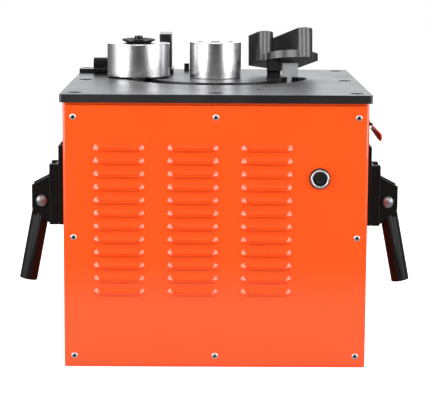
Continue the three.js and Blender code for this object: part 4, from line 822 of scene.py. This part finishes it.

# %% [markdown]
# ## Panel screws
# Eight pan-head screws with a cross recess hold the panel. One is modelled and seven are copies with their
# own mesh. The head is a short cylinder whose front cap is stepped into a dome, with the cross cut out. The
# faces inside the cross recess are painted black as painted shade.

# %% One panel screw
SCREW_X, SCREW_TOP, SCREW_MIDDLE, SCREW_LOW = 205.8, 369.2, 193.5, 17.3
PAN_RADIUS, PAN_RISE, PAN_ROOT = 4.4, 1.1, 0.5
PAN_DOME = [(0.7, 0.55), (0.9, 0.35), (1.0, 0.15)]
CROSS_LONG, CROSS_THICK, CROSS_SINK, CROSS_CUT = 2.9, 0.8, 0.4, 2
pan_front = panel_front - PAN_RISE
screw = level_rod("panel_screw_1", -SCREW_X, SCREW_TOP, panel_front + PAN_ROOT, pan_front, PAN_RADIUS, 40)
step_cap(screw, FRONTWARD, PAN_DOME)
for wide, tall in ((CROSS_LONG, CROSS_THICK), (CROSS_THICK, CROSS_LONG)):
    cross = slab(
        "cross",
        (-SCREW_X - wide, pan_front - CROSS_CUT, SCREW_TOP - tall),
        (-SCREW_X + wide, pan_front + CROSS_SINK, SCREW_TOP + tall),
    )
    combine(screw, cross, "DIFFERENCE")
smooth(screw)
print("screw faces", len(screw.data.polygons))

# %% All eight
FACES_OUT = -0.5


def finish_screw(piece, x, z):
    # Faces in the cross recess get the dull black: painted shade in the recess of a zinc head.
    def cross_in_painted_shade(at, facing):
        inside = max(abs(at.x - x), abs(at.z - z)) < CROSS_LONG + TOUCH / 2
        sunk = facing.y > FACES_OUT or at.y > pan_front + CROSS_SINK - TOUCH
        return inside and sunk and at.y < panel_front

    settle(piece, "zinc_steel")
    refinish(piece, BLACK_AND_PAINTED_SHADE, cross_in_painted_shade)


places = [(-SCREW_X, SCREW_TOP), (0, SCREW_TOP), (SCREW_X, SCREW_TOP)]
places += [(-SCREW_X, SCREW_MIDDLE), (SCREW_X, SCREW_MIDDLE)]
places += [(-SCREW_X, SCREW_LOW), (0, SCREW_LOW), (SCREW_X, SCREW_LOW)]
for number, (x, z) in enumerate(places[1:], 2):
    copy = own_copy(screw, f"panel_screw_{number}")
    place_by(copy, Matrix.Translation(Vector((x + SCREW_X, 0, z - SCREW_TOP)) * MM))
    finish_screw(copy, x, z)
finish_screw(screw, *places[0])

# %% [markdown]
# ## Pedal socket
# A dark ring sits on the panel, with a bright connector shell in it whose bore looks black. The shell's bore
# is stepped into the cap of a cylinder, and the faces inside it take the black plastic finish: the insulator
# inside is really black, and on the metal walls of the bore the black is painted shade.

# %% Pedal ring
RING_EDGE = 0.7
ring_low, ring_high = millimetres("pedal_socket_ring")
ring_radius = (ring_high.x - ring_low.x) / 2
ring = level_rod("pedal_ring_turned", socket_x, socket_z, ring_high.y, ring_low.y, ring_radius)
for outward in (FRONTWARD, BACKWARD):
    step_cap(ring, outward, [(ring_radius - SOCKET_HOLE, 0)])
bore_caps(ring, BACKWARD)
soften(ring, RING_EDGE)
settle(ring, "black_plastic", "pedal_socket_ring")

# %% Pedal shell
SHELL_SEAT, SHELL_LIP, SHELL_EDGE = 0.3, 0.5, 0.4
SHELL_TAIL_RADIUS, SHELL_TAPER, DARK_INSET = 11, 0.02, 2.9
SHELL_RIM = [(0.9, SHELL_LIP), (1.0, 0), (0.9, -0.6)]
SHELL_BORE = [(0.3, -3.2), (2.2, 0), (0.3, 1.4), (2.6, 0), (0.3, -1.6)]
shell_radius = (socket_high.x - socket_low.x) / 2
shell_back, shell_front = ring_low.y - SHELL_SEAT, socket_low.y + SHELL_LIP
shell = level_rod("pedal_shell_turned", socket_x, socket_z, shell_back, shell_front, shell_radius)
step_cap(shell, FRONTWARD, SHELL_RIM + SHELL_BORE)
shell_tail = [(shell_radius - SHELL_TAIL_RADIUS, 0), (SHELL_TAPER, socket_high.y - ring_low.y)]
step_cap(shell, BACKWARD, shell_tail)
soften(shell, SHELL_EDGE)
settle(shell, "zinc_steel", "pedal_socket_insert")
dark_radius = shell_radius - DARK_INSET
# Faces inside the bore take black plastic: the insulator's own colour, and painted shade on the bore's metal
# walls.
refinish(
    shell,
    FINISHES["black_plastic"],
    lambda at, facing: math.hypot(at.x - socket_x, at.z - socket_z) < dark_radius,
)

# %% [markdown]
# ## Fork
# The fork is cast and machined: a thick floor with a rounded near end, two jaws whose near ends are half
# round, and a boss that reaches down to the tilting pin. It is modelled level and then turned and tilted.

# %% Fork floor
PIN_HIGH, UNDER, FLOOR_TOP, JAW_TOP = 15.2, 27, 39, 76
FAR, LEFT, RIGHT = -48, -18, 60
ROUND_U, ROUND_V, ROUND_RADIUS = -3, 36, 48
fork = upright_rod("fork_cast", ROUND_U, ROUND_V, UNDER, FLOOR_TOP, ROUND_RADIUS, 128)
edit(fork)
bpy.ops.mesh.select_all(action="SELECT")
bpy.ops.mesh.bisect(
    plane_co=Vector((0, RIGHT, 0)) * MM, plane_no=(0, 1, 0), use_fill=True, clear_outer=True
)
leave()
combine(fork, slab("far_floor", (FAR, LEFT, UNDER), (ROUND_U, RIGHT, FLOOR_TOP)), "UNION")
print("fork floor", len(fork.data.polygons), "faces")

# %% Fork jaws
JAW_FAR, JAW_HALF, JAW_SINK, JAW_SHORT = -45, 13.5, 0.5, 2
JAW_PLACES = ((-12.5, -7.5), (39, 34.5))
NEAR_STEPS, NEAR_FLAT = 16, 0.02
FAR_ROUND, FAR_STEPS = 2, 4
for near, across_v in JAW_PLACES:
    jaw = slab(
        "jaw",
        (JAW_FAR, across_v - JAW_HALF, UNDER + JAW_SINK),
        (near + JAW_HALF - JAW_SHORT, across_v + JAW_HALF, JAW_TOP),
    )
    edit(jaw)
    pick(jaw, "EDGE", lambda e: lies_along(e, "z") and middle_of(e).x > JAW_FAR + OVERLAP)
    bpy.ops.mesh.bevel(offset=(JAW_HALF - NEAR_FLAT) * MM, segments=NEAR_STEPS, affect="EDGES")
    pick(jaw, "EDGE", lambda e: lies_along(e, "z") and middle_of(e).x < JAW_FAR + OVERLAP)
    bpy.ops.mesh.bevel(offset=FAR_ROUND * MM, segments=FAR_STEPS, affect="EDGES")
    leave()
    combine(fork, jaw, "UNION")
print("fork with jaws", len(fork.data.polygons), "faces")

# %% Fork boss, and the fork in its place
FORK_TURN, FORK_TILT = math.radians(-60), math.radians(-18)
BOSS_RADIUS, BOSS_DROP, BOSS_ROOT = 11, 6.5, 2
POCKET_X, POCKET_Y, POCKET_UP = 4.8, 7.5, 7.5
FORK_EDGE, DARK_MARGIN = 0.9, 0.5
boss_low = PIN_HIGH - BOSS_DROP
place_by(fork, Matrix.Rotation(FORK_TURN, 4, "Z"))
combine(fork, upright_rod("boss", 0, 0, boss_low, UNDER + BOSS_ROOT, BOSS_RADIUS, 64), "UNION")
pocket_low = (-POCKET_X, -POCKET_Y, boss_low - OVERLAP)
pocket_high = (POCKET_X, POCKET_Y, PIN_HIGH + POCKET_UP)
combine(fork, slab("pocket", pocket_low, pocket_high), "DIFFERENCE")
soften(fork, FORK_EDGE)

plate_top = millimetres("top_plate")[1].z
post_low, post_high = millimetres("fork_post")
foot = Vector(((post_low.x + post_high.x) / 2, (post_low.y + post_high.y) / 2, plate_top))
pin_height = Vector((0, 0, PIN_HIGH))
tilt = Matrix.Translation(pin_height * MM) @ Matrix.Rotation(FORK_TILT, 4, "X")
level = Matrix.Translation(-pin_height * MM)
stance = Matrix.Translation(foot * MM) @ tilt @ level
place_by(fork, stance)
settle(fork, "black_steel", "fork", material=FORK_STEEL)


# The boss below the fork's floor takes the dull black as painted shade: it stands in the fork's shadow.
def boss_in_painted_shade(at, facing):
    level_place = stance.inverted() @ (at * MM) / MM
    near_axis = math.hypot(level_place.x, level_place.y) < BOSS_RADIUS + DARK_MARGIN
    return near_axis and level_place.z < UNDER - DARK_MARGIN


refinish(fork, BLACK_AND_PAINTED_SHADE, boss_in_painted_shade)

# %% [markdown]
# ## Fence, tail peg and screw
# The fence is milled from bar, so its solids are right as they are and only get soft edges. The knob of its
# screw is knurled: the side of a cylinder is cut into small squares and each is poked up to a point.

# %% Fence pieces
FENCE_EDGE = 0.8
for node in ("fence_base", "fence_jaw", "tail_peg"):
    softened_copy(node, FENCE_EDGE)

# %% Knurled screw
KNOB_LONG, KNOB_RADIUS, SPINDLE_RADIUS = 33, 13.5, 8
KNURL, KNURL_SIDES, KNURL_CUTS = 1.4, 30, 11
low, high = millimetres("fence_screw")
screw_y, screw_z = (low.y + high.y) / 2, (low.z + high.z) / 2
knob_end = low.x + KNOB_LONG
knob_start = (low.x, screw_y, screw_z)
knob = rod("fence_screw_knurled", knob_start, (knob_end, screw_y, screw_z), KNOB_RADIUS - KNURL, KNURL_SIDES)
edit(knob)
pick(knob, "EDGE", lambda e: lies_along(e, "x"))
bpy.ops.mesh.subdivide(number_cuts=KNURL_CUTS)
pick(knob, "FACE", lambda f: abs(f.normal.x) < ACROSS)
bpy.ops.mesh.poke(offset=KNURL * MM)
leave()
spindle_start, spindle_end = (knob_end - OVERLAP, screw_y, screw_z), (high.x, screw_y, screw_z)
spindle = rod("spindle", spindle_start, spindle_end, SPINDLE_RADIUS, 48)
smooth(spindle)
join_into(knob, spindle)
settle(knob, "black_steel", "fence_screw")

# %% [markdown]
# ## Limit lever
# The lever in the slot's right end is a bright plate: square on top, drawn in below to a narrow stem that
# goes down through the slot to its pivot. The stem is extruded from the plate's lower edge.

# %% Limit lever
SHOULDER_UP, SHOULDER_STEP = 1.4, 0.4
STUB_SHARE, STUB_SIDE = 0.28, -0.5
STEM_IN, STEM_END, PLATE_HALF = 9, 4, 1
LEVER_EYE, LEVER_EYE_HALF, LEVER_EYE_UP, LEVER_EDGE = 4.5, 4, 4.5, 0.4
low, high = millimetres("limit_lever")
lever_y, plate_x = (low.y + high.y) / 2, (low.x + high.x) / 2
stem_x = low.x + STEM_IN
shoulder = plate_top + SHOULDER_UP
plate_low, plate_high = (low.x, lever_y - PLATE_HALF, shoulder), (high.x, lever_y + PLATE_HALF, high.z)
paddle = slab("limit_plate", plate_low, plate_high)
edit(paddle)
pick(paddle, "FACE", lambda f: f.normal.z < -ALIGNED)
bpy.ops.mesh.extrude_region_move(TRANSFORM_OT_translate={"value": (0, 0, -SHOULDER_STEP * MM)})
bpy.ops.transform.resize(value=(STUB_SHARE, 1, 1))
bpy.ops.transform.translate(value=(STUB_SIDE * MM, 0, 0))
stem_down = (low.z + STEM_END - shoulder) * MM
bpy.ops.mesh.extrude_region_move(TRANSFORM_OT_translate={"value": (0, 0, stem_down)})
bpy.ops.transform.translate(value=((stem_x - plate_x - STUB_SIDE) * MM, 0, 0))
leave()
eye_z = low.z + LEVER_EYE_UP
eye_start, eye_end = (stem_x - LEVER_EYE_HALF, lever_y, eye_z), (stem_x + LEVER_EYE_HALF, lever_y, eye_z)
combine(paddle, rod("eye", eye_start, eye_end, LEVER_EYE, 32), "UNION")
soften(paddle, LEVER_EDGE)
settle(paddle, "zinc_steel", "limit_lever", material=SHEET_ZINC)

# %% [markdown]
# ## Table, cabinet and switch
# These are plates and folded sheet with the right outline already. A copy of each is merged, its flat
# triangles are dissolved and its edges get a small radius, which is what catches the light.

# %% Edged copies
EDGES = {
    "top_plate": 0.6,
    "cabinet_shell": 0.7,
    "base_plate": 0.6,
    "switch_body": 0.5,
    "switch_flap": 0.4,
    "flap_pusher": 0.4,
    "terminal_box": 0.6,
    "control_box": 0.8,
}
for node, width in EDGES.items():
    softened_copy(node, width)

# %% [markdown]
# ## Table bolts
# Eight socket head bolts hold the table. Their heads are sunk flush in counterbores and stay dull black, so
# from the front each is a dark ellipse. The head is a cylinder with a hexagon cut in.

# %% Table bolts
BOLTS, BOLT_SUNK, BOLT_HEAD_LOW, BOLT_HEX_LOW = 8, 0.5, 7.7, 4
BOLT_SHANK_RADIUS, BOLT_SHANK_TOP = 6, 7
for number in range(1, BOLTS + 1):
    low, high = millimetres(f"plate_bolt_{number}")
    x, y = (low.x + high.x) / 2, (low.y + high.y) / 2
    head_radius = (high.x - low.x) / 2
    head_low, head_high = high.z - BOLT_HEAD_LOW, high.z - BOLT_SUNK
    bolt = upright_rod(f"table_bolt_{number}", x, y, head_low, head_high, head_radius, 48)
    hex_low, hex_high = high.z - BOLT_HEX_LOW, high.z + OVERLAP
    combine(bolt, upright_rod("socket", x, y, hex_low, hex_high, head_radius / 2, HEX_SIDES), "DIFFERENCE")
    shank_top = high.z - BOLT_SHANK_TOP
    combine(bolt, upright_rod("shank", x, y, low.z, shank_top, BOLT_SHANK_RADIUS, 32), "UNION")
    soften(bolt, FINE_EDGE)
    settle(bolt, "black_steel", f"plate_bolt_{number}", material=BLACK_AND_PAINTED_SHADE)

# %% [markdown]
# ## Carry handles
# Each handle is a plastic-covered tube that hangs from a bolt between two cheeks. The tube is a cylinder
# with a sunk end and a flat eye. It is modelled hanging from the bolt's axis, at the origin, and then leaned
# out and moved into place. The left one is a copy that leans the other way.

# %% Handle tube
GRIP_OUT, GRIP_DROP = 24, 125
GRIP_RADIUS, GRIP_START, GRIP_END, GRIP_EDGE = 14, 12, 3.3, 1.0
GRIP_SUNK_END = [(2.2, 0), (0.3, -1.2)]
EYE_RADIUS, EYE_HALF, NECK_LONG = 11, 13.5, 26
BOLT_HOLE, BOLT_HOLE_HALF = 5.4, 20
grip_long = math.hypot(GRIP_OUT, GRIP_DROP)
lean = math.atan2(GRIP_OUT, GRIP_DROP)
tube = upright_rod("grip_tube", 0, 0, -GRIP_START, -grip_long - GRIP_END, GRIP_RADIUS, 64)
step_cap(tube, DOWNWARD, GRIP_SUNK_END)
combine(tube, slab("neck", (-EYE_RADIUS, -EYE_HALF, -NECK_LONG), (EYE_RADIUS, EYE_HALF, 0)), "UNION")
combine(tube, level_rod("eye", 0, 0, -EYE_HALF, EYE_HALF, EYE_RADIUS, 48), "UNION")
combine(tube, level_rod("bolt_hole", 0, 0, -BOLT_HOLE_HALF, BOLT_HOLE_HALF, BOLT_HOLE, 32), "DIFFERENCE")
soften(tube, GRIP_EDGE)
print("grip", round(grip_long, 1), "mm long, leaning", round(math.degrees(lean), 1), "degrees")

# %% Handle bolt
BOLT_RADIUS, BOLT_START, BOLT_EDGE = 5, 6, 0.2
DOME_RADIUS, DOME_BACK, DOME_FRONT = 9.5, 6.2, 4.6
DOME = [(0.9, 1.2), (1.5, 1.2), (2.1, 1.1), (2.6, 0.7), (1.5, 0.3)]
bolt_low, bolt_high = millimetres("right_handle_bolt")
bolt_x, bolt_z = (bolt_low.x + bolt_high.x) / 2, (bolt_low.z + bolt_high.z) / 2
bolt = level_rod("handle_bolt_turned", 0, 0, bolt_low.y + BOLT_START, bolt_high.y, BOLT_RADIUS, 32)
head = level_rod("head", 0, 0, bolt_low.y + DOME_BACK, bolt_low.y + DOME_FRONT, DOME_RADIUS, 48)
step_cap(head, FRONTWARD, DOME)
combine(bolt, head, "UNION")
soften(bolt, BOLT_EDGE)
print("bolt", len(bolt.data.polygons), "faces")

# %% Both sides
CHEEK_EDGE = 1.0
for side, name in ((1, "right"), (-1, "left")):
    at_bolt = Matrix.Translation(Vector((bolt_x * side, 0, bolt_z)) * MM)
    grip = own_copy(tube, f"{name}_handle_tube_made")
    place_by(grip, at_bolt @ Matrix.Rotation(-lean * side, 4, "Y"))
    settle(grip, "black_steel", f"{name}_handle_tube", f"{name}_handle_plug", material=POWDER_BLACK)
    piece = own_copy(bolt, f"{name}_handle_bolt_made")
    place_by(piece, at_bolt)
    settle(piece, "zinc_steel", f"{name}_handle_bolt", material=GREY_BOLT)
    for node in ("handle_mount", "handle_bracket"):
        softened_copy(f"{name}_{node}", CHEEK_EDGE, POWDER_BLACK)
for shape in (tube, bolt):
    bpy.data.objects.remove(shape)
